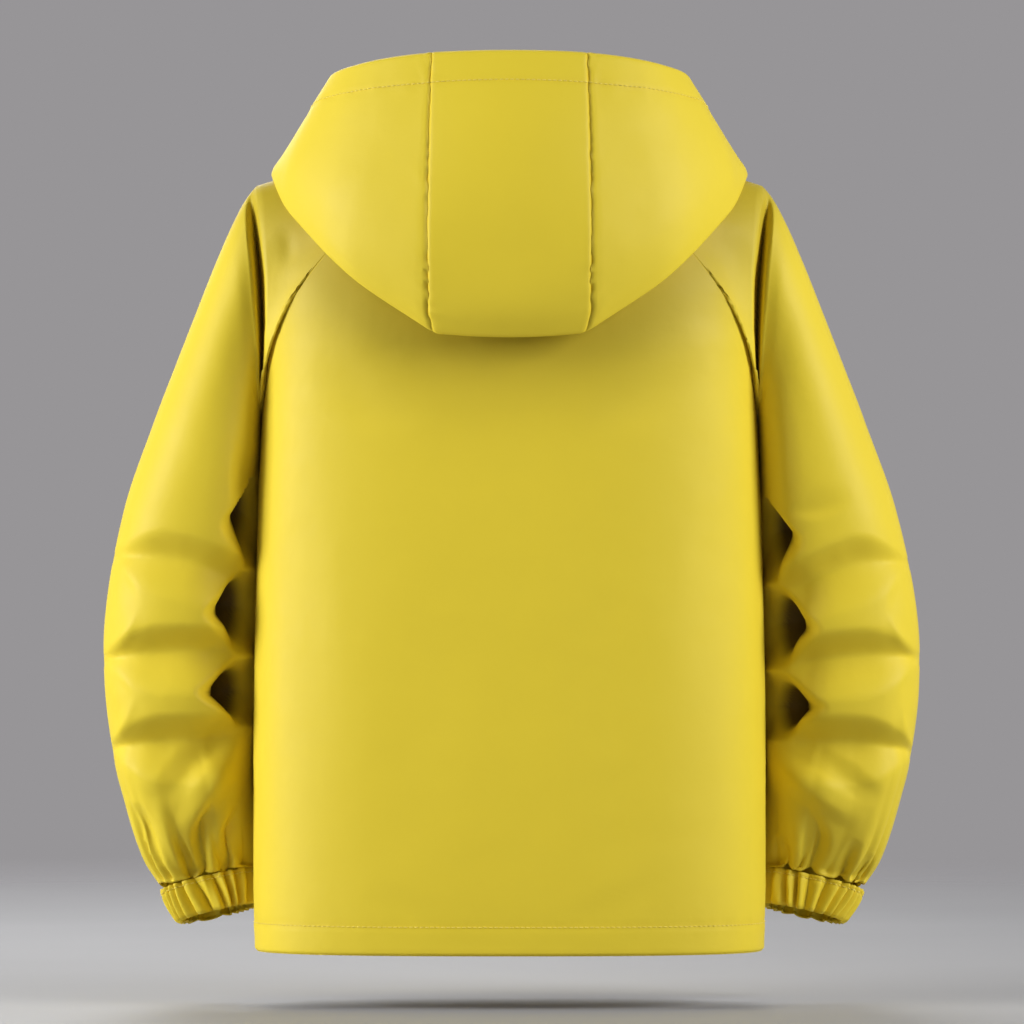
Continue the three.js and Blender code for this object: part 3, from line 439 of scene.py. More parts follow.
def stitch_parts(line, normals, length, gap, thick):
    """Points and faces of a row of stitches along a line that lies on the cloth."""
    run = run_along(line, 0)
    count = int(run[-1] / (length + gap))
    if count < 1:
        return np.zeros((0, 3)), []
    middles = (np.arange(count) + 0.5) * run[-1] / count
    at = np.stack([np.interp(middles, run, line[:, a]) for a in range(3)], -1)
    up = np.stack([np.interp(middles, run, normals[:, a]) for a in range(3)], -1)
    up /= np.linalg.norm(up, axis=1, keepdims=True)
    tangent = np.gradient(line, axis=0)
    along = np.stack([np.interp(middles, run, tangent[:, a]) for a in range(3)], -1)
    along -= up * np.sum(along * up, 1, keepdims=True)
    along /= np.linalg.norm(along, axis=1, keepdims=True)
    side = np.cross(along, up)
    angles = 2 * np.pi * np.arange(STITCH_SIDES) / STITCH_SIDES
    rings = []
    for place, width, height in STITCH_RINGS:
        for angle in angles:
            out = np.cos(angle) * side + np.sin(angle) * up
            ring = at + along * place * length + up * height * thick
            rings.append(ring + out * width * thick / 2)
    points = np.stack(rings, 1).reshape(-1, 3)
    n = STITCH_SIDES
    one = []
    for ring in range(len(STITCH_RINGS) - 1):
        for i in range(n):
            j = (i + 1) % n
            one.append((ring * n + i, ring * n + j, (ring + 1) * n + j, (ring + 1) * n + i))
    last = (len(STITCH_RINGS) - 1) * n
    one.append(tuple(reversed(range(n))))
    one.append(tuple(range(last, last + n)))
    size = len(STITCH_RINGS) * n
    faces = [tuple(corner + size * i for corner in face) for i in range(count) for face in one]
    return points, faces


def stitching(name, lines, sizes, material):
    """Rows of stitches as one piece that goes with the cloth."""
    points, faces = [], []
    for line, normals in lines:
        more, more_faces = stitch_parts(
            line, normals, sizes.stitch_length / MM, sizes.stitch_gap / MM, sizes.thread / MM
        )
        shift = len(points)
        points.extend((more * MM).tolist())
        faces.extend(tuple(corner + shift for corner in face) for face in more_faces)
    piece = new_piece(name, points, faces, material)
    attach(piece, BODY)
    return piece


class Value:
    """A node's output that adds Math nodes when it is used in arithmetic."""

    def __init__(self, tree, socket):
        self.tree = tree
        self.socket = socket

    def math(self, operation, *others):
        return self.tree.node("Math", {"operation": operation}, [self, *others])

    def __add__(self, other):
        return self.math("ADD", other)

    __radd__ = __add__

    def __mul__(self, other):
        return self.math("MULTIPLY", other)

    __rmul__ = __mul__

    def __sub__(self, other):
        return self.math("SUBTRACT", other)

    def __rsub__(self, other):
        return self.tree.node("Math", {"operation": "SUBTRACT"}, [other, self])


class Tree:
    """A node tree that is filled by one call for each node."""

    def __init__(self, tree):
        self.nodes = tree.nodes
        self.links = tree.links
        self.nodes.clear()

    def node(self, kind, settings, inputs, output=0):
        """Adds a node. inputs go to its sockets by name or place, as numbers or as links."""
        made = self.nodes.new(f"ShaderNode{kind}")
        for key, value in settings.items():
            setattr(made, key, value)
        pairs = inputs.items() if isinstance(inputs, dict) else enumerate(inputs)
        for key, value in pairs:
            if isinstance(value, Value):
                self.links.new(value.socket, made.inputs[key])
            else:
                made.inputs[key].default_value = value
        return Value(self, made.outputs[output])

    def mix(self, factor, a, b):
        return self.node("Mix", {"data_type": "RGBA"}, {0: factor, 6: a, 7: b}, 2)

    def close(self, kind, shader):
        output = self.nodes.new(f"ShaderNodeOutput{kind}")
        self.links.new(shader.socket, output.inputs["Surface"])


class Finish(Tree):
    """A material made of nodes."""

    def __init__(self, name):
        self.material = bpy.data.materials.new(name)
        self.material.use_nodes = True
        super().__init__(self.material.node_tree)

    def noise(self, scale, detail=2.0, roughness=0.5, vector=None):
        """Noise from 0 to 1 in the part's own space, where scale is bumps to the metre."""
        if vector is None:
            vector = self.node("TexCoord", {}, {}, "Object")
        inputs = {"Vector": vector, "Scale": scale, "Detail": detail, "Roughness": roughness}
        return self.node("TexNoise", {}, inputs)

    def relief(self, height, distance, below=None, strength=1.0):
        inputs = {"Strength": strength, "Distance": distance, "Height": height}
        if below is not None:
            inputs["Normal"] = below
        return self.node("Bump", {}, inputs)

    def attribute(self, name):
        return self.node("Attribute", {"attribute_name": name}, {}, "Fac")

    def done(self, shader):
        self.close("Material", shader)
        return self.material


WEAVE = 0.0008  # two threads of the cloth


def weave(finish):
    """The raised threads of a plain weave, from 0 to 1, along the cloth's own map."""
    place = finish.node("UVMap", {"uv_map": "cloth"}, {})
    u = finish.node("SeparateXYZ", {}, [place], 0) * (2 * np.pi / WEAVE)
    v = finish.node("SeparateXYZ", {}, [place], 1) * (2 * np.pi / WEAVE)
    return u.math("SINE") * v.math("SINE") * 0.5 + 0.5


def tinted(colour, by):
    """A colour made lighter or darker, by one number or by one for each channel."""
    return [*np.minimum(np.array(colour[:3]) * by, 1), 1]


def shell_fabric(colours):
    """Coated woven nylon: satin, faintly crinkled, with painted shade that deepens its colour at seams,
    deep in folds and below the hood.
    """
    finish = Finish("shell fabric")
    base = colours.cloth
    broad = finish.noise(5, 1)
    cloudy = finish.noise(38, 3)
    colour = finish.mix(broad, tinted(base, 0.955), tinted(base, 1.035))
    colour = finish.mix(cloudy * 0.5, colour, tinted(base, 0.97))
    # Painted shade: darker and more orange along the pinched seams and stitching.
    colour = finish.mix(finish.attribute("seam") * 0.35, colour, tinted(base, (0.86, 0.8, 0.6)))
    # Painted shade: nearly black-brown deep in the sleeves' hollows, and painted shadow below the
    # folded-down hood.
    colour = finish.mix(finish.attribute("fold") * 0.96, colour, tinted(base, (0.09, 0.06, 0.03)))
    rough = finish.noise(60, 2) * 0.1 + 0.52
    soft = finish.relief(finish.noise(26, 2, 0.4), 0.0009)
    crinkle = finish.relief(finish.noise(170, 3, 0.55), 0.00012, soft)
    threads = finish.relief(weave(finish), 0.00003, crinkle, 0.6)
    inputs = {
        "Base Color": colour,
        "Roughness": rough,
        "Normal": threads,
        "Specular IOR Level": 0.3,
        "Sheen Weight": 0.03,
        "Sheen Roughness": 0.45,
        "Sheen Tint": [1, 0.95, 0.6, 1],
        "Coat Weight": 0.02,
        "Coat Roughness": 0.3,
    }
    return finish.done(finish.node("BsdfPrincipled", {}, inputs))


def thread_finish(colours):
    """Polyester thread, twisted and a little shinier than the cloth."""
    finish = Finish("thread")
    twist = finish.noise(2500, 2)
    colour = finish.mix(twist, tinted(colours.thread, 0.85), tinted(colours.thread, 1.1))
    relief = finish.relief(twist, 0.0001)
    inputs = {"Base Color": colour, "Roughness": 0.5, "Normal": relief, "Sheen Weight": 0.2}
    return finish.done(finish.node("BsdfPrincipled", {}, inputs))


def tape_finish(colours):
    """Herringbone zip tape."""
    finish = Finish("zip tape")
    place = finish.node("UVMap", {"uv_map": "cloth"}, {})
    u = finish.node("SeparateXYZ", {}, [place], 0) * 900
    v = finish.node("SeparateXYZ", {}, [place], 1) * 900
    ribs = (v + u.math("PINGPONG", 2.0)).math("SINE") * 0.5 + 0.5
    colour = finish.mix(ribs, tinted(colours.tape, 0.8), tinted(colours.tape, 1.08))
    relief = finish.relief(ribs, 0.00015)
    inputs = {"Base Color": colour, "Roughness": 0.7, "Normal": relief, "Sheen Weight": 0.3}
    return finish.done(finish.node("BsdfPrincipled", {}, inputs))


def teeth_finish(colours):
    """Moulded zip teeth, dyed to the cloth."""
    finish = Finish("zip teeth")
    flow = finish.noise(300, 2)
    colour = finish.mix(flow, tinted(colours.tape, 0.9), tinted(colours.tape, 1.15))
    relief = finish.relief(finish.noise(1400, 2), 0.00003)
    inputs = {"Base Color": colour, "Roughness": flow * 0.12 + 0.3, "Normal": relief}
    return finish.done(finish.node("BsdfPrincipled", {}, inputs))


def metal_finish(colours):
    """Enamelled die-cast metal, rubbed bare along its raised grain."""
    finish = Finish("enamelled metal")
    rubbed = finish.noise(900, 4, 0.7).math("GREATER_THAN", 0.68)
    colour = finish.mix(rubbed, tinted(colours.metal, 1), [0.55, 0.53, 0.5, 1])
    relief = finish.relief(finish.noise(700, 3), 0.00004)
    inputs = {
        "Base Color": colour,
        "Metallic": rubbed * 0.8 + 0.1,
        "Roughness": finish.noise(500, 2) * 0.15 + 0.25,
        "Normal": relief,
    }
    return finish.done(finish.node("BsdfPrincipled", {}, inputs))


MATERIALS = {}


def material(name):
    """A finish by name, made once."""
    makers = {
        "cloth": shell_fabric,
        "thread": thread_finish,
        "tape": tape_finish,
        "teeth": teeth_finish,
        "metal": metal_finish,
    }
    if name not in MATERIALS:
        MATERIALS[name] = makers[name](bpy.context.scene.jacket_colours)
    return MATERIALS[name]


def length_property(name, description, default):
    return FloatProperty(
        name=name, description=description, default=default, min=0, unit="LENGTH", precision=5
    )


class JacketSizes(PropertyGroup):
    """Sizes of the sewing that a user would change."""

    cloth: length_property("Cloth", "Thickness of one layer of cloth", 0.0011)
    cuff: length_property("Cuff", "Thickness of a cuff's casing", 0.0016)
    hem: length_property("Hem", "Depth of the turned-up hem of the trunk", 0.0225)
    rim: length_property("Hood rim", "Depth of the hem round the hood's opening", 0.0255)
    stitch_length: length_property("Stitch", "Length of one stitch", 0.0031)
    stitch_gap: length_property("Stitch gap", "Gap between two stitches", 0.0009)
    thread: length_property("Thread", "Thickness of the sewing thread", 0.0008)
    tape: length_property("Tape", "Thickness of the zip's tape", 0.0009)
    tooth_pitch: length_property("Tooth pitch", "From one tooth to the next on a side", 0.0026)


def colour_property(name, description, default):
    return FloatVectorProperty(
        name=name, description=description, default=default, subtype="COLOR", size=3, min=0, max=1
    )


class JacketColours(PropertyGroup):
    """Colours that a user would change."""

    cloth: colour_property("Cloth", "Colour of the coated cloth", (0.80, 0.62, 0.034))
    thread: colour_property("Thread", "Colour of the sewing thread", (0.86, 0.70, 0.09))
    tape: colour_property("Zip tape", "Colour of the zip's tape and teeth", (0.70, 0.53, 0.04))
    metal: colour_property("Zip metal", "Colour of the zip's enamel", (0.62, 0.47, 0.05))


class StudioSettings(PropertyGroup):
    """The studio's light and camera."""

    key: FloatProperty(
        name="Key light", description="Power of the main light", default=74, unit="POWER"
    )
    distance: FloatProperty(
        name="Camera distance",
        description="Distance of the camera from the middle plane of the jacket",
        default=6.0,
        unit="LENGTH",
    )


# The left half of the hood's lower edge, where it hangs on the back: x and z
HOOD_EDGE = ((183, -8), (151, -54), (120, -88), (60, -128), (0, -132))
HOOD_SHADE = 0.4

BACK_CREASES = Creases(
    ((-150, -150, 24, 24, 0, 0), (-108, -176, 26, 26, 2.0, 0), (-60, -190, 24, 24, 0, 0)),
    ((150, -150, 24, 24, 0, 0), (112, -178, 26, 26, 2.0, 0), (70, -196, 24, 24, 0, 0)),
    ((-168, -215, 30, 30, 0, 0), (-160, -320, 34, 34, 1.6, 0), (-150, -430, 30, 30, 0, 0)),
    ((166, -230, 30, 30, 0, 0), (158, -350, 34, 34, 1.6, 0), (152, -480, 30, 30, 0, 0)),
    ((-60, -250, 40, 40, 0, 0), (-78, -400, 46, 46, 1.3, 0), (-84, -560, 40, 40, 0, 0)),
    ((58, -300, 40, 40, 0, 0), (70, -440, 46, 46, 1.2, 0), (78, -570, 40, 40, 0, 0)),
    ((-120, -540, 14, 14, 0, 0), (-80, -560, 18, 18, 0.7, 0), (-40, -572, 14, 14, 0, 0)),
    ((110, -548, 14, 14, 0, 0), (76, -562, 18, 18, 0.6, 0), (40, -572, 14, 14, 0, 0)),
)


def hood_shade(grid, reach):
    """How far the folded-down hood keeps the light off the cloth below its edge, from 0 to 1."""
    right_half = [(-x, z) for x, z in HOOD_EDGE[-2::-1]]
    edge = Path([*HOOD_EDGE, *right_half])(np.linspace(0, 1, 60))
    place = grid[..., [0, 2]]
    away = np.full(grid.shape[:2], np.inf)
    for point in edge:
        away = np.minimum(away, np.linalg.norm(place - point, axis=-1))
    return HOOD_SHADE * np.exp(-((away / reach) ** 2)) * (grid[..., 1] > 0)


def dressed_back(sizes):
    """The back's outer face, with its creases, hem and seams."""
    heights = panel_heights(back_point, BACK_NECK_Z, BACK_ROWS_BELOW, BACK_ROWS_ABOVE)
    grid = even_rows(back_point, heights, -1, 1, BACK_COLUMNS)
    edge = EdgeRuns(grid)
    hem = sizes.hem / MM
    normals = normals_of(grid)
    raglan = np.minimum(edge.first, edge.last)
    by = BACK_CREASES.depth(grid, normals, 1)
    by += seam_roll(raglan, 0.5, 0.8) + seam_roll(edge.bottom, 1.6, 1.2)
    by += turned_edge(edge.bottom, hem)
    by += puckers(np.abs(edge.bottom - hem), edge.across, 0.3, 17, 7, 1.3)
    by += puckers(raglan, edge.up, 0.25, 21, 9, 0.4)
    made = moved_out(grid, by)
    # Besides the face: the weights of painted shade along the seams and hem stitching, and of painted
    # shadow below the hood.
    return made, pinched(raglan, edge.bottom - hem), hood_shade(grid, 50)


def dressed_front(sizes):
    """The left front's outer face: its rows run from the side to the zip."""
    heights = panel_heights(front_point, FRONT_NECK_Z, FRONT_ROWS_BELOW, FRONT_ROWS_ABOVE)
    lows = front_edge_turns(heights)
    grid = even_rows(front_point, heights, lows, 1, FRONT_COLUMNS)[:, ::-1]
    edge = EdgeRuns(grid)
    hem = sizes.hem / MM
    normals = normals_of(grid)
    by = BACK_CREASES.depth(grid, normals, -1, (8, -14), 0.9)
    by += seam_roll(edge.first) + seam_roll(edge.last, 0.8, 1.5)
    by += seam_roll(edge.bottom, 1.6, 1.2) + stitch_groove(edge.bottom, hem)
    by += stitch_groove(edge.last, ZIP_STITCHES_IN)
    by += puckers(np.abs(edge.last - ZIP_STITCHES_IN), edge.up, 0.3, 24, 8, 2.1)
    by += puckers(np.abs(edge.bottom - hem), edge.across, 0.3, 17, 7, 0.7)
    made = moved_out(grid, by)
    # Besides the face: the weight of painted shade along the seams and hem stitching.
    return made, pinched(edge.first, edge.bottom - hem)


SLEEVE = Table(
    "ring inner_x inner_z outer_x outer_z mid_y depth pinch waist lean",
    (2, 191.5, -188.5, 194, -17.5, 0, 47, 0, 6.5, 0),
    (3, 191.9, -190, 198.5, -22.5, 0, 46, 30, 4.5, 0),
    (4, 192.1, -193, 204, -30.5, 0, 44, 0, 2.5, 0),
    (5, 192.3, -199, 213, -48, 0, 46, 0, 0, 0),
    (6, 192.5, -208, 226, -78, 0, 48, 0, 0, 0),
    (7, 193, -222, 241, -116, 0, 51, 0, 0, 0),
    (8, 193.7, -240, 257, -157, 0, 54, 0, 0, 0),
    (9, 194.5, -262, 272, -196, -1, 56, 0, 0, 0),
    (11, 195.7, -310, 296, -266, -3, 57, 0, 0, 0),
    (13, 196.7, -358, 309.5, -336, -6, 57, 0, 0, 0),
    (14, 197.1, -382, 312, -372, -8, 56, 0, 0, 0),
    (15, 197.4, -408, 311, -406, -11, 55, 0, 0, 0),
    (17, 197.8, -460, 304, -462, -19, 52, 0, 0, 0),
    (18, 197, -484, 298, -488, -24, 48, 0, 0, 0.04),
    (19, 195.8, -506, 291.5, -513, -30, 43, 0, 0, 0.09),
    (20, 194.5, -524, 283, -537, -37, 37, 0, 0, 0.14),
    (21, 193.5, -538, 271, -556, -43, 30, 0, 0, 0.18),
)
LAST_RING = 21  # where the sleeve ends and the cuff begins
SLEEVE_SQUARE = 2.3
SHOULDER_BULGE = 4
SHOULDER_LIFT = 6
SLEEVE_ROWS_OVER, SLEEVE_ROWS_DOWN, SLEEVE_COLUMNS = 36, 236, 176

# The folds of the bent elbow: troughs across the back of the sleeve and hollows beside the body.
# A trough's first four sizes are the heights of its lowest line at the shares TROUGH_PLACES.
SWING = {"left": 0, "right": 4}
TROUGH_PLACES = (0, 0.14, 0.3, 0.5)
TROUGHS = {
    "left": (
        (-318, -311, -295, -297, 12, 28),
        (-374, -370, -369, -376, 17, 30),
        (-430, -436, -438, -444, 18, 30),
    ),
    "right": (
        (-318, -322, -300, -302, 13, 30),
        (-388, -379, -371, -375, 16, 30),
        (-436, -438, -439, -447, 17, 30),
    ),
}
HOLLOWS = {
    "left": ((-272, 34, 36, 0.185), (-340, 46, 33, 0.205), (-401, 48, 27, 0.215)),
    "right": ((-285, 38, 34, 0.19), (-352, 45, 33, 0.21), (-412, 46, 27, 0.22)),
}
# At the front the folds lie lower, and the hollows lie further round and are smaller
FRONT_DROP = 32
FRONT_TURN = 0.035
FRONT_SIZE = 0.22
HOLLOW_DEEPEST = 0.065
SLEEVE_GATHERS, SLEEVE_GATHER_DEPTH, SLEEVE_GATHER_LENGTH = 13, 11, 30
SLEEVE_TOUCH = 1.6  # how far a sleeve is pressed out to where it meets the body
CUFF_GATHERS, CUFF_GATHER_DEPTH, CUFF_TAPER = 23, 1.7, 0.85
CUFF_ROWS, CUFF_GATHER_COLUMNS = 34, 22
CUFF_DEPTH = 26
CUFF_STITCHES_IN = 3.5
CUFF_LEDGE = 9  # how far the cuff's top turns in below the sleeve
CUFF_DROP = np.array([-8, 2, -26])


def neck_arc():
    """The sleeve's short top edge, round the side of the neck from back to front."""
    back_end = back_point(BACK_NECK_Z, 1.0)
    front_end = front_point(FRONT_NECK_Z, 1.0)
    return Path([back_end, (69, 42, 4), (83, 8, 10), (80, -28, 2), front_end])


def raglan_loop():
    """The raglan seam and the sleeve's top edge, from the underarm up the back and round."""
    back_z = np.linspace(UNDERARM_Z, BACK_NECK_Z, 150)
    front_z = np.linspace(FRONT_NECK_Z, UNDERARM_Z, 150)
    arc = neck_arc()(np.linspace(0, 1, 60))
    ones = np.ones(150)
    return np.concatenate([back_point(back_z, ones), arc[1:], front_point(front_z, ones)[1:]])


def oval_point(ring, place, swing):
    """A point of an upright oval ring of the sleeve, at its share of the way round."""
    s = SLEEVE(ring)
    angle = 2 * np.pi * place
    power = 2 / SLEEVE_SQUARE
    across = np.sign(np.cos(angle)) * np.abs(np.cos(angle)) ** power
    deep = np.sign(np.sin(angle)) * np.abs(np.sin(angle)) ** power
    y = (s.depth - s.pinch * np.abs(np.sin(angle)) ** 0.6) * deep
    outwards = swing * rise_between(ring, 9, 16) * (0.5 - 0.5 * across)
    x = (s.inner_x + s.outer_x) / 2 + across * (s.inner_x - s.outer_x) / 2
    x = x - s.waist * np.abs(deep) ** 3 + outwards
    z = (s.inner_z + s.outer_z) / 2 + across * (s.inner_z - s.outer_z) / 2 + s.lean * y
    return np.stack(np.broadcast_arrays(x, s.mid_y + y, z), -1)


def plain_sleeve(ring, place, swing):
    """The sleeve with no folds; from the raglan loop to ring 2 it lies over the shoulder."""
    loop = raglan_loop()
    run = run_along(np.concatenate([loop, loop[:1]]), 0)
    closed = np.concatenate([loop, loop[:1]])
    wanted = place * run[-1]
    start = np.stack([np.interp(wanted, run, closed[:, a]) for a in range(3)], -1)
    share = np.minimum(ring / 2, 1)[..., None]
    oval = oval_point(np.maximum(ring, 2), place, swing)
    turn = 2 * np.pi * place
    away = np.stack([0.5 + 0 * turn, 0.8 * np.sin(turn), -0.6 * np.cos(turn)], -1)
    away /= np.linalg.norm(away, axis=-1, keepdims=True)
    low = np.sqrt(np.maximum(0.5 + 0.5 * np.cos(turn), 0))[..., None]
    bulged = away * low * SHOULDER_BULGE * 4 * share * (1 - share)
    top = bump((place - 0.5) / 0.16)[..., None] * bump((share - 0.86) / 0.5)
    return start + (oval - start) * share + bulged + np.array([0, 0, SHOULDER_LIFT]) * top


def fold_depths(side, place, z):
    """How far a sleeve's troughs and its hollows push it towards the middle of its ring."""
    back = place <= 0.5
    around = np.where(back, place, 1 - place)
    height = np.where(back, z, z + FRONT_DROP)
    depth = np.zeros(np.broadcast(place, z).shape)
    outwards = rise_between(around, 0.27, 0.48)
    for *heights, deep, half in TROUGHS[side]:
        line = Line(TROUGH_PLACES, heights, False)(around)[..., 0]
        reach = half * (1 - 0.8 * outwards) * np.where(height > line, 0.75, 1.2)
        lasting = rise_between(around, 0.03, 0.17) * (1 - 0.86 * outwards)
        off = np.minimum(np.abs(height - line) / reach, 1)
        crisp = 0.3 + 0.7 * rise_between(around, 0.3, 0.46)
        depth += deep * lasting * (crisp * (1 - off) ** 1.6 + (1 - crisp) * bump(off))
    hollows = np.zeros(depth.shape)
    for hollow_z, reach, half, end in HOLLOWS[side]:
        for facing, size in ((1, 1), (-1, FRONT_SIZE)):
            middle_z = hollow_z if facing == 1 else hollow_z - FRONT_DROP
            at = np.where(back, around, -around) * facing
            if facing == -1:
                at = at - FRONT_TURN
            before = at / HOLLOW_DEEPEST
            after = (end - at) / (end - HOLLOW_DEEPEST)
            share = np.maximum(np.minimum(before, after), 0)
            high = size * half * np.clip(0.15 + after, 0.01, 1)
            near = np.maximum(0, 1 - np.abs(z - middle_z) / high)
            hollows += size * reach * share * near ** 1.35
    return depth, hollows


def gather(place, count):
    """Gathers stand out as rounded ridges with sharp grooves, unevenly spaced."""
    wander = 0.3 * np.sin(4 * np.pi * place + 1) + 0.22 * np.sin(10 * np.pi * place)
    return 2 * np.abs(np.cos(np.pi * (count * place + wander))) - 1


def folded_sleeve(side):
    """The left-hand form of a sleeve's outer face, its rows from the cuff to the raglan seam.

    It comes with how deep in a hollow at its back each of its points lies, from 0 to 1, which weights
    the painted shade in its hollows.
    """
    over = 2 * np.linspace(0, 1, SLEEVE_ROWS_OVER)[:-1] ** 1.4
    down = np.linspace(2, LAST_RING - 0.02, SLEEVE_ROWS_DOWN)
    ring = np.concatenate([over, down])[::-1, None]
    place = (np.arange(SLEEVE_COLUMNS) / SLEEVE_COLUMNS)[None, :]
    ring, place = np.broadcast_arrays(ring, place)
    swing = SWING[side]
    plain = plain_sleeve(ring, place, swing)
    s = SLEEVE(np.maximum(ring, 2))
    middle = np.stack([(s.inner_x + s.outer_x) / 2, s.mid_y, (s.inner_z + s.outer_z) / 2], -1)
    inwards = middle - plain
    inwards /= np.linalg.norm(inwards, axis=-1, keepdims=True)
    end = oval_point(np.full_like(ring, LAST_RING), place, swing)
    fade = np.exp(-np.linalg.norm(plain - end, axis=-1) / SLEEVE_GATHER_LENGTH)
    closed = 0.06 + 0.94 * rise_between(LAST_RING - ring, 0, 0.4)
    groove = SLEEVE_GATHER_DEPTH / 2 * fade * closed * (1 - gather(place, SLEEVE_GATHERS))
    troughs, hollows = fold_depths(side, place, plain[..., 2])
    hollows = hollows * (ring > 4)
    by = (troughs + groove) * (ring > 4) + hollows
    folded = relaxed(plain + inwards * by[..., None], rise_between(hollows, 0, 3), 3)
    # The second value weights the painted shade deep in the hollows, on the side facing the back.
    return folded, rise_between(hollows, 6, 19) * rise_between(plain[..., 1] - s.mid_y, -20, 0)


SLEEVE_CREASES = {
    "left": Creases(
        # Facets beside the outer notches
        ((301, -299, 3, 5, 0, 1), (292, -318, 8, 12, 1.2, 0.4), (284, -341, 6, 12, 0, 0.4)),
        ((283, -340, 5, 8, 0, 1), (292, -355, 8, 9, -2.2, 0.9), (311, -375, 3, 3, -0.4, 1)),
        ((311, -378, 3, 5, 0, 1), (300, -391, 8, 10, 1.2, 0.4), (288, -408, 6, 12, 0, 0.4)),
        ((286, -406, 5, 8, 0, 1), (294, -424, 8, 9, -2.0, 0.9), (305, -442, 3, 3, -0.4, 1)),
        # The ridge and trough that run down from the lowest hollow to the cuff
        ((206, -432, 8, 8, 0, 0), (226, -470, 14, 18, -5.5, 0.3), (254, -512, 10, 10, 0, 0)),
        ((230, -440, 10, 10, 0, 0), (248, -462, 14, 18, 4.5, 0.2), (266, -484, 12, 12, 0, 0)),
        # The longest gathers above the cuff
        ((288, -486, 8, 8, 0, 0), (281, -505, 11, 9, 6.0, 0.4), (271, -529, 9, 9, 1.5, 0.1)),
        ((272, -480, 8, 8, 0, 0), (262, -508, 8, 9, -3.4, 0.1), (254, -534, 5, 5, -1, 0.1)),
        ((258, -508, 5, 5, 0, 0), (249, -530, 7, 6, 6.5, 0.7), (243, -548, 5, 5, 5.0, 0.9)),
        ((228, -484, 4, 4, 0, 1), (238, -510, 13, 7, 11.0, 0.8), (236, -544, 6, 6, 8.0, 0.9)),
        ((207, -486, 5, 5, 0, 1), (214, -513, 9, 10, 10.5, 0.8), (219, -540, 6, 6, 7.5, 0.9)),
        # The shoulder, pressed in between the hood and the fold, and the shade above the hollows
        ((122, -52, 14, 14, 0, 0), (160, -62, 22, 26, 3.4, 0), (178, -118, 14, 14, 1.5, 0)),
        ((172, -44, 6, 6, 0, 0), (170, -60, 8, 8, 1.2, 0.2), (171, -78, 6, 6, 0, 0)),
        ((204, -205, 8, 8, 0, 0), (202, -245, 13, 13, 3.0, 0), (206, -262, 8, 8, 0, 0)),
    ),
    "right": Creases(
        ((124, -54, 14, 14, 0, 0), (162, -66, 22, 26, 3.2, 0), (178, -122, 14, 14, 1.4, 0)),
        ((300, -304, 3, 5, 0, 1), (297, -322, 8, 12, 1.2, 0.4), (290, -344, 6, 12, 0, 0.4)),
        ((289, -342, 5, 8, 0, 1), (297, -357, 8, 9, -2.4, 0.9), (313, -374, 3, 3, -0.4, 1)),
        ((313, -377, 3, 5, 0, 1), (307, -392, 8, 10, 1.2, 0.4), (301, -413, 6, 12, 0, 0.4)),
        ((300, -411, 5, 8, 0, 1), (302, -428, 7, 8, -1.8, 0.9), (309, -445, 3, 3, -0.4, 1)),
        ((212, -262, 4, 4, 0, 0), (226, -262, 8, 16, 2.2, 0.3), (262, -252, 8, 14, 0, 0)),
        ((204, -452, 10, 10, 0, 0), (236, -478, 16, 18, -5.5, 0.2), (272, -500, 12, 12, 0, 0)),
        ((232, -448, 10, 10, 0, 0), (258, -466, 14, 14, 3.6, 0.1), (286, -484, 10, 10, 0, 0)),
        ((231, -493, 8, 8, 0, 1), (238, -516, 16, 10, 9.5, 0.5), (229, -547, 6, 6, 7.0, 0.9)),
        ((222, -500, 6, 6, 0, 0), (222, -522, 7, 7, -3, 0.2), (221, -542, 5, 5, -1, 0.3)),
        ((208, -512, 6, 6, 0, 0), (211, -528, 8, 8, 6.4, 0.7), (213, -546, 5, 5, 5.4, 0.9)),
        ((267, -514, 7, 7, 0, 0), (259, -534, 9, 8, 7.2, 0.7), (252, -556, 5, 5, 5.6, 0.9)),
        ((279, -526, 5, 5, 0, 0), (270, -544, 6, 6, 5.0, 0.7), (263, -560, 4, 4, 3.8, 0.9)),
    ),
}


def dressed_sleeve(side):
    """A sleeve's outer face with its creases, and the weights of its painted shade at its seams, in its
    hollows and below the hood.
    """
    grid, fold = folded_sleeve(side)
    edge = EdgeRuns(grid)
    normals = normals_of(grid, True)
    by = SLEEVE_CREASES[side].depth(grid, normals, 1)
    by += SLEEVE_CREASES[side].depth(grid, normals, -1, (2, -0.3 * FRONT_DROP), 0.8)
    by += SLEEVE_TOUCH * rise_between(-normals[..., 0], 0.8, 0.98)
    by += seam_roll(edge.top, 0.5, 0.8) + seam_roll(edge.bottom, 0.3, 1.2)
    by += puckers(edge.top, edge.across, 0.3, 19, 9, 0.9)
    made = moved_out(grid, by, True)
    # Painted shade along the raglan seam and where the cuff is sewn on.
    seam = np.minimum(np.exp(-edge.top / 2.5) + np.exp(-edge.bottom / 3), 1)
    # Painted shadow below the folded-down hood joins the painted shade of the hollows.
    fold = np.maximum(fold, hood_shade(made, 40))
    if side == "right":
        return mirrored(made), mirrored_values(seam), mirrored_values(fold)
    return made, seam, fold


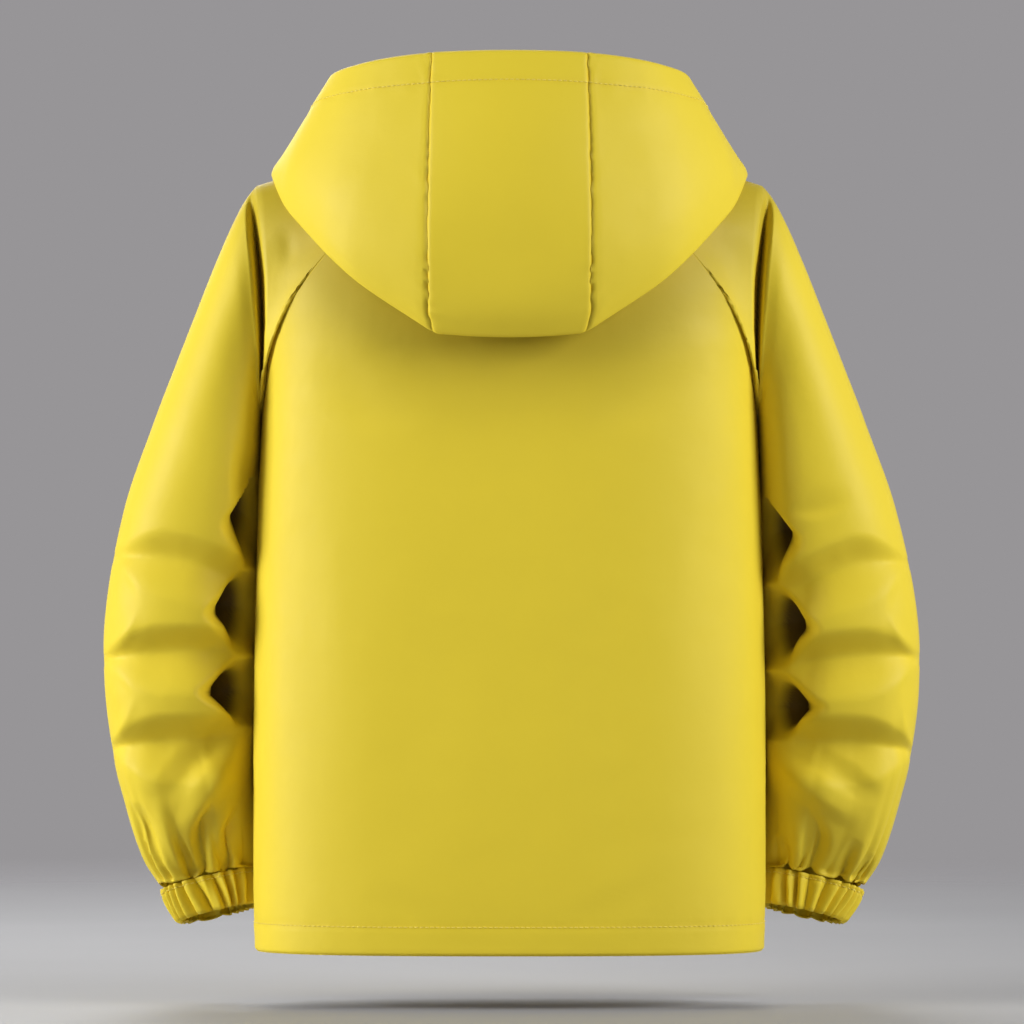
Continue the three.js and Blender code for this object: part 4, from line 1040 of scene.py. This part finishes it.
def dressed_cuff(side):
    """A cuff's outer face, its rows from its lower edge up to the sleeve and a ledge inside it."""
    columns = CUFF_GATHER_COLUMNS * CUFF_GATHERS
    share = closer_at_ends(CUFF_ROWS)[::-1, None]
    place = (np.arange(columns) / columns)[None, :]
    share, place = np.broadcast_arrays(share, place)
    top = oval_point(np.full(place.shape, LAST_RING), place, SWING[side])
    ends = oval_point(np.array([LAST_RING, LAST_RING]), np.array([0, 0.5]), SWING[side])
    middle = ends.mean(0)
    out = top - middle
    full = 1 + 0.04 * np.sin(np.pi * share)
    seed = 2.2 if side == "left" else 0.8
    uneven = 1 + 0.3 * np.sin(2 * np.pi * (5 * place + 0.1 * seed)) * np.sin(14 * np.pi * place)
    deep = CUFF_GATHER_DEPTH * uneven * (1.5 + 0.9 * np.sin(np.pi * share))
    leaning = place + 0.024 * share * np.sin(2 * np.pi * (3 * place + 0.2 * seed))
    pleat = gather(leaning, CUFF_GATHERS)
    ripples = deep * (pleat - 1)
    small = 0.35 * ripple(place * 300, 9, seed)
    low, high = (1 - share) * CUFF_DEPTH, share * CUFF_DEPTH
    tuck = seam_roll(low, 1.5, 1.3) + seam_roll(high, 0.6, 1.2)
    tuck += stitch_groove(high, CUFF_STITCHES_IN, 0.7)
    scale = ((1 - (1 - CUFF_TAPER) * share) * full)[..., None]
    along = middle + CUFF_DROP * share[..., None]
    unit = out / np.linalg.norm(out, axis=-1, keepdims=True)
    made = along + out * scale + unit * (ripples + small + tuck)[..., None]
    made = made + CUFF_DROP * (0.02 * (pleat - 0.3) * rise_between(share, 0.5, 1))[..., None]
    edge = EdgeRuns(made)
    # Painted shade along the cuff's two sewn edges.
    seam = np.minimum(np.exp(-edge.top / 3) + np.exp(-edge.bottom / 4), 1)
    made = np.concatenate([made, made[-1:] - unit[-1:] * CUFF_LEDGE])
    seam = np.concatenate([seam, seam[-1:]])
    if side == "right":
        return mirrored(made), mirrored_values(seam)
    return made, seam


HOOD = Table(
    "at neck fold_x fold_y fold_z rim_x rim_y rim_z roll bulge lift",
    (0, 0, 6, -88, -53, 6, -93, -37, 1, 0, 3),
    (1, 0.15, 50, -92, -43, 47, -84, -8, 2, 1, 6),
    (2, 0.3, 104, -82, -34, 90, -68, 20, 3, 1, 9),
    (3, 0.43, 155, -50, -19, 124, -37, 46, 3, 1, 9),
    (4, 0.54, 183, -4, -3.5, 139.5, 6, 62, 3, 0, 9),
    (5, 0.65, 173, 44, -27, 135, 44, 71.5, 5, 6, 9),
    (6, 0.74, 151, 78, -54, 115, 74, 77.5, 6, 10, 8),
    (7, 0.82, 120, 103, -85, 88, 91, 82, 7, 13, 8),
    (8, 0.89, 57, 119, -128, 59, 100, 85, 7, 16, 8),
)
HOOD_MIDDLE = dict(
    neck=1, fold_x=0, fold_y=122, fold_z=-131, rim_x=0, rim_y=105, rim_z=86.5, roll=7, bulge=18, lift=8
)
HOOD_STAND = 9
WIDEST_NECK = 0.54  # where round the neck the hood reaches widest
HOOD_SEAM_AT = 8
HOOD_COLUMNS, HOOD_CENTRE_COLUMNS, HOOD_ROW_COUNT = 100, 60, 140
HOOD_SHARES = (0, 0.1, 0.23, 0.35, 0.395, 0.435, 0.48, 0.59, 0.75, 0.92, 1)


def neck_seam():
    """The left half of the neck seam, from the throat to the middle of the back."""
    heights = np.array([FRONT_NECK_Z])
    front = even_rows(front_point, heights, front_edge_turns(heights), 1, 40)[0]
    arc = neck_arc()(np.linspace(1, 0, 40))
    back = even_rows(back_point, np.array([BACK_NECK_Z]), 0, 1, 30)[0][::-1]
    points = np.concatenate([front, arc[1:], back[1:]])
    run = run_along(points, 0)
    return lambda share: np.array([np.interp(share * run[-1], run, points[:, a]) for a in range(3)])


def hood_section(s, neck_line):
    """A section of the folded-down hood, from the neck seam over and down to the fold and rim."""
    neck = neck_line(s.neck)
    fold = np.array([s.fold_x, s.fold_y, s.fold_z])
    rim = np.array([s.rim_x, s.rim_y, s.rim_z])
    up = np.array([0, 0, 1])
    out = (fold - neck) * (1, 1, 0)
    out = out / np.linalg.norm(out)
    grown = min(1, s.lift / 8)
    tip = fold - (neck + rim) / 2
    tip = tip / np.linalg.norm(tip)
    across = rim - neck
    across = across - tip * np.dot(across, tip)
    across = across / np.linalg.norm(across)
    stand = neck + up * HOOD_STAND * (0.4 + 0.6 * grown) + out
    over = stand + out * 10 * grown + up * 2 * grown
    under = (neck + fold) / 2 + out * s.lift * 0.8 + up * s.lift
    in_fold = neck + (fold - neck) * 0.84 + up * s.lift * 0.5
    out_fold = fold - tip * s.roll + across * s.roll
    swell = out * ((1 - s.neck) / (1 - WIDEST_NECK), 1, 1)
    under_share = 0.14 + 0.16 * rise_between(s.neck, 0.86, 1)
    low = out_fold + (rim - out_fold) * under_share + swell * s.bulge * 0.9
    high = out_fold + (rim - out_fold) * 0.68 + swell * s.bulge
    return Path([neck, stand, over, under, in_fold, fold, out_fold, low, high, rim])


def hood_grids():
    """The outer faces of the left side panel and the centre panel, rows from neck to rim."""
    neck_line = neck_seam()
    places = np.linspace(0, len(HOOD_SHARES) - 1, HOOD_ROW_COUNT)
    shares = np.interp(places, np.arange(len(HOOD_SHARES)), HOOD_SHARES)
    ats = np.linspace(0, HOOD_SEAM_AT, HOOD_COLUMNS + 1)
    side = np.stack([hood_section(HOOD(at), neck_line)(shares) for at in ats], 1)
    middle = hood_section(SimpleNamespace(**HOOD_MIDDLE), neck_line)(shares)
    across = np.linspace(-1, 1, HOOD_CENTRE_COLUMNS + 1)
    edge = side[:, -1]
    centre = middle[:, None] + (edge - middle)[:, None] * (across ** 2)[None, :, None]
    centre[..., 0] = edge[:, :1] * across[None]
    return side[:, ::-1], centre


def dressed_hood_side(grid, sizes):
    """The left side panel's outer face, with its seam and rim, and the weight of its painted shade
    where sewing pinches it.
    """
    edge = EdgeRuns(grid)
    rim = sizes.rim / MM
    by = seam_roll(edge.first, 1.2, 1.6) + seam_roll(edge.bottom) + seam_roll(edge.top, 1.4, 1.2)
    by += puckers(edge.first, edge.up, 0.9, 14, 7, 1.9) + turned_edge(edge.top, rim)
    by += puckers(np.abs(edge.top - rim), edge.across, 0.35, 19, 8, 0.2)
    return moved_out(grid, by), pinched(edge.first, edge.top - rim)


def dressed_hood_centre(grid, sizes):
    """The centre panel's outer face, with its two seams and rim, and the weight of its painted shade
    where sewing pinches it.
    """
    edge = EdgeRuns(grid)
    rim = sizes.rim / MM
    side = np.minimum(edge.first, edge.last)
    by = seam_roll(side, 1.2, 1.6) + seam_roll(edge.bottom) + seam_roll(edge.top, 1.4, 1.2)
    by += puckers(edge.first, edge.up, 0.5, 16, 6, 2.6) + puckers(edge.last, edge.up, 0.5, 15, 6, 0.3)
    by += turned_edge(edge.top, rim)
    return moved_out(grid, by), pinched(side, edge.top - rim)


def declare(width, length, share):
    """Multiplies the box round a piece, in metres, by the piece's share of that box; the result is not
    kept.
    """
    share * width * length


class PieceOperator(Operator):
    """What the jacket's operators share."""

    bl_options = {"REGISTER"}

    @property
    def sizes(self):
        return bpy.context.scene.jacket_sizes


class JACKET_OT_back(PieceOperator):
    """Sews the back, with its hem and the stitching along it"""

    bl_idname = "jacket.back"
    bl_label = "Back"

    def execute(self, context):
        # seam weights painted shade along the seams, and fold weights painted shadow below the hood.
        grid, seam, fold = dressed_back(self.sizes)
        cloth = self.sizes.cloth
        piece = cloth_piece("back", grid, material("cloth"), cloth, seam=seam, fold=fold)
        declare(0.56, 0.62, 0.9)
        hem = line_up(grid, normals_of(grid), self.sizes.hem / MM)
        stitching("back_hem_stitches", [hem], self.sizes, material("thread"))
        return {"FINISHED"}


class JACKET_OT_fronts(PieceOperator):
    """Sews the two fronts, with the stitching along their hems and beside the zip"""

    bl_idname = "jacket.fronts"
    bl_label = "Fronts"

    def execute(self, context):
        left, seam = dressed_front(self.sizes)
        for side, grid, near in (
            ("left", left, seam),
            ("right", mirrored(left), mirrored_values(seam)),
        ):
            name = f"front_{side}"
            piece = cloth_piece(name, grid, material("cloth"), self.sizes.cloth, seam=near)
            declare(0.28, 0.60, 0.88)
            normals = normals_of(grid)
            hem = line_up(grid, normals, self.sizes.hem / MM)
            zip_line = line_across(grid, normals, ZIP_STITCHES_IN, side == "left")
            stitching(f"{name}_stitches", [hem, zip_line], self.sizes, material("thread"))
        return {"FINISHED"}


class JACKET_OT_sleeves(PieceOperator):
    """Sews the raglan sleeves with the folds of their bent elbows"""

    bl_idname = "jacket.sleeves"
    bl_label = "Sleeves"

    def execute(self, context):
        for side in ("left", "right"):
            # seam weights painted shade along the seams, and fold weights painted shade in the hollows
            # and painted shadow below the hood.
            grid, seam, fold = dressed_sleeve(side)
            name, cloth = f"sleeve_{side}", self.sizes.cloth
            piece = cloth_piece(name, grid, material("cloth"), cloth, True, seam, fold)
            declare(0.42, 0.68, 0.85)
        return {"FINISHED"}


class JACKET_OT_cuffs(PieceOperator):
    """Sews the gathered elastic cuffs"""

    bl_idname = "jacket.cuffs"
    bl_label = "Cuffs"

    def execute(self, context):
        for side in ("left", "right"):
            grid, seam = dressed_cuff(side)
            piece = cloth_piece(f"cuff_{side}", grid, material("cloth"), self.sizes.cuff, True, seam)
            declare(0.34, 0.036, 1)
            outside = grid[:-1]
            normals = normals_of(outside, True)
            line, normals = line_up(outside, normals, CUFF_STITCHES_IN, True)
            loop = (np.concatenate([line, line[:1]]), np.concatenate([normals, normals[:1]]))
            stitching(f"cuff_{side}_stitches", [loop], self.sizes, material("thread"))
        return {"FINISHED"}


class JACKET_OT_hood(PieceOperator):
    """Sews the three panels of the hood, folded down on the back"""

    bl_idname = "jacket.hood"
    bl_label = "Hood"

    def execute(self, context):
        side, centre = hood_grids()
        left, left_seam = dressed_hood_side(side, self.sizes)
        middle, middle_seam = dressed_hood_centre(centre, self.sizes)
        for name, grid, seam, width, length, share in (
            ("hood_side_left", left, left_seam, 0.36, 0.30, 0.8),
            ("hood_side_right", mirrored(left), mirrored_values(left_seam), 0.36, 0.30, 0.8),
            ("hood_centre", middle, middle_seam, 0.13, 0.40, 1),
        ):
            piece = cloth_piece(name, grid, material("cloth"), self.sizes.cloth, seam=seam)
            declare(width, length, share)
            rim = line_up(grid, normals_of(grid), self.sizes.rim / MM, True)
            stitching(f"{name}_stitches", [rim], self.sizes, material("thread"))
        return {"FINISHED"}


TAPE_WIDTH = 15
TAPE_INNER_X = 0.3
TAPE_BEHIND = 1.8
ZIP_TOP_DROP = 1
TOOTH = (3.0, 1.5, 1.3)  # across, front to back and along the zip


def tape_grid():
    """The left tape's outer face, behind the edge of the left front."""
    heights = np.linspace(HEM_Z, FRONT_NECK_Z - ZIP_TOP_DROP, 120)
    edge_y = front_point(heights, np.zeros(120))[:, 1]
    x = np.linspace(TAPE_INNER_X + TAPE_WIDTH, TAPE_INNER_X, 12)
    y = edge_y[:, None] + TAPE_BEHIND + 0.0015 * x * x
    return np.stack(np.broadcast_arrays(x, y, heights[:, None]), -1)


class JACKET_OT_zip(PieceOperator):
    """Sews in the zip: its tapes and teeth, and the finish of its slider and pull"""

    bl_idname = "jacket.zip"
    bl_label = "Zip"

    def execute(self, context):
        grid = tape_grid()
        for side, made in (("left", grid), ("right", mirrored(grid))):
            piece = cloth_piece(f"zip_tape_{side}", made, material("tape"), self.sizes.tape)
            declare(0.015, 0.54, 1)
            self.teeth(side)
        for node in ("zip_slider", "zip_pull"):
            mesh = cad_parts[node].data
            mesh.materials.clear()
            mesh.materials.append(material("metal"))
        return {"FINISHED"}

    def teeth(self, side):
        """One tooth is modelled and repeated down the edge of a tape."""
        bpy.ops.object.select_all(action="DESELECT")
        bpy.ops.mesh.primitive_cube_add(size=1)
        tooth = bpy.context.object
        tooth.scale = Vector(TOOTH) * MM
        bpy.ops.object.transform_apply(location=False, rotation=False, scale=True)
        apply_modifier(tooth, "BEVEL", width=0.0004, segments=2)
        base = np.array([v.co for v in tooth.data.vertices])
        faces = [tuple(p.vertices) for p in tooth.data.polygons]
        bpy.data.objects.remove(tooth)
        pitch = self.sizes.tooth_pitch / MM
        top = FRONT_NECK_Z - ZIP_TOP_DROP - 3
        start = HEM_Z + 6 + (pitch / 2 if side == "right" else 0)
        heights = np.arange(start, top, pitch)
        y = front_point(heights, np.zeros(len(heights)))[:, 1] + TAPE_BEHIND - TOOTH[1] / 2
        x = (0.9 if side == "left" else -0.9) * np.ones(len(heights))
        places = np.stack([x, y, heights], -1) * MM
        points = (places[:, None] + base[None]).reshape(-1, 3)
        shifted = [
            tuple(corner + i * len(base) for corner in face)
            for i in range(len(places))
            for face in faces
        ]
        piece = new_piece(f"zip_teeth_{side}", points.tolist(), shifted, material("teeth"))
        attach(piece, BODY)


FLOOR_Z = -0.64
FLOOR_RADIUS = 3.0
VIEW_WIDTH = 0.7864
VIEW_TARGET = Vector((-0.0019, 0, -0.2627))
SKY_BEHIND, SKY_AHEAD = (0.07, 0.07, 0.073, 1), (0.31, 0.3, 0.31, 1)


def floor_finish():
    """Pale matt floor that fades out towards its edge."""
    finish = Finish("studio floor")
    place = finish.node("TexCoord", {}, {}, "Object")
    away = finish.node("VectorMath", {"operation": "LENGTH"}, [place], "Value")
    fading = finish.node("MapRange", {}, {"Value": away, 1: 1.2, 2: 2.6, 3: 0.0, 4: 1.0})
    grain = finish.noise(3, 2)
    colour = finish.mix(grain, [0.33, 0.33, 0.34, 1], [0.37, 0.37, 0.38, 1])
    matt = finish.node("BsdfPrincipled", {}, {"Base Color": colour, "Roughness": 0.6})
    clear = finish.node("BsdfTransparent", {}, {})
    return finish.done(finish.node("MixShader", {}, [fading, matt, clear]))


def studio_air():
    """Grey light from all round: pale where the camera looks, and darker behind it."""
    world = bpy.data.worlds.new("studio")
    world.use_nodes = True
    air = Tree(world.node_tree)
    way = air.node("TexCoord", {}, {}, "Generated")
    backwards = air.node("SeparateXYZ", {}, [way], 1)
    ahead = air.node("MapRange", {}, {"Value": backwards, 1: 0.1, 2: -0.7})
    tone = air.mix(ahead, SKY_BEHIND, SKY_AHEAD)
    air.close("World", air.node("Background", {}, {"Color": tone}))
    return world


def aimed(thing, target):
    thing.rotation_euler = (Vector(target) - thing.location).to_track_quat("-Z", "Y").to_euler()


class JACKET_OT_studio(PieceOperator):
    """Sets up a pale floor, soft lights and the camera behind the jacket"""

    bl_idname = "jacket.studio"
    bl_label = "Studio"

    # Each light: its name, place, size in metres and its share of the key light's power
    LIGHTS = (
        ("key", (3.0, 0.86, 0.3), 1.4, 1.3),
        ("high", (2.15, 1.4, 1.7), 1.4, 0.22),
        ("side", (-2.5, 1.25, 0.8), 1.5, 1.08),
        ("front", (0.6, -2.6, 1.3), 2.0, 0.6),
    )

    def execute(self, context):
        bpy.ops.object.select_all(action="DESELECT")
        bpy.ops.mesh.primitive_circle_add(
            vertices=96, radius=FLOOR_RADIUS, fill_type="NGON", location=(0, 0, FLOOR_Z)
        )
        floor = bpy.context.object
        floor.name = "studio_floor"
        floor.data.materials.append(floor_finish())
        settings = context.scene.jacket_studio
        for name, place, size, share in self.LIGHTS:
            bpy.ops.object.light_add(type="AREA", location=place)
            light = bpy.context.object
            light.name = f"studio_{name}"
            light.data.size = size
            light.data.energy = settings.key * share
            aimed(light, (0, 0, -0.25))
        context.scene.world = studio_air()
        context.scene.view_settings.view_transform = "Standard"
        bpy.ops.object.camera_add(location=VIEW_TARGET + Vector((0, settings.distance, 0)))
        camera = bpy.context.object
        aimed(camera, VIEW_TARGET)
        camera.data.lens = camera.data.sensor_width * settings.distance / VIEW_WIDTH
        camera.data.clip_start, camera.data.clip_end = 0.1, 50
        context.scene.camera = camera
        return {"FINISHED"}


OPERATORS = (
    JACKET_OT_back,
    JACKET_OT_fronts,
    JACKET_OT_sleeves,
    JACKET_OT_cuffs,
    JACKET_OT_hood,
    JACKET_OT_zip,
    JACKET_OT_studio,
)


class JACKET_PT_panel(Panel):
    """The jacket's pieces, sizes and colours"""

    bl_label = "Jacket"
    bl_space_type = "VIEW_3D"
    bl_region_type = "UI"
    bl_category = "Jacket"

    def draw(self, context):
        layout = self.layout
        for operator in OPERATORS:
            layout.operator(operator.bl_idname)
        for group in (context.scene.jacket_sizes, context.scene.jacket_colours):
            for name in group.__annotations__:
                layout.prop(group, name)


CLASSES = (JacketSizes, JacketColours, StudioSettings, *OPERATORS, JACKET_PT_panel)


def register():
    for cls in CLASSES:
        bpy.utils.register_class(cls)
    bpy.types.Scene.jacket_sizes = PointerProperty(type=JacketSizes)
    bpy.types.Scene.jacket_colours = PointerProperty(type=JacketColours)
    bpy.types.Scene.jacket_studio = PointerProperty(type=StudioSettings)


def unregister():
    del bpy.types.Scene.jacket_sizes
    del bpy.types.Scene.jacket_colours
    del bpy.types.Scene.jacket_studio
    for cls in reversed(CLASSES):
        bpy.utils.unregister_class(cls)


def main():
    register()
    bpy.ops.jacket.back()
    bpy.ops.jacket.fronts()
    bpy.ops.jacket.sleeves()
    bpy.ops.jacket.cuffs()
    bpy.ops.jacket.hood()
    bpy.ops.jacket.zip()
    bpy.ops.jacket.studio()
    bpy.context.view_layer.update()


if __name__ == "__main__":
    main()
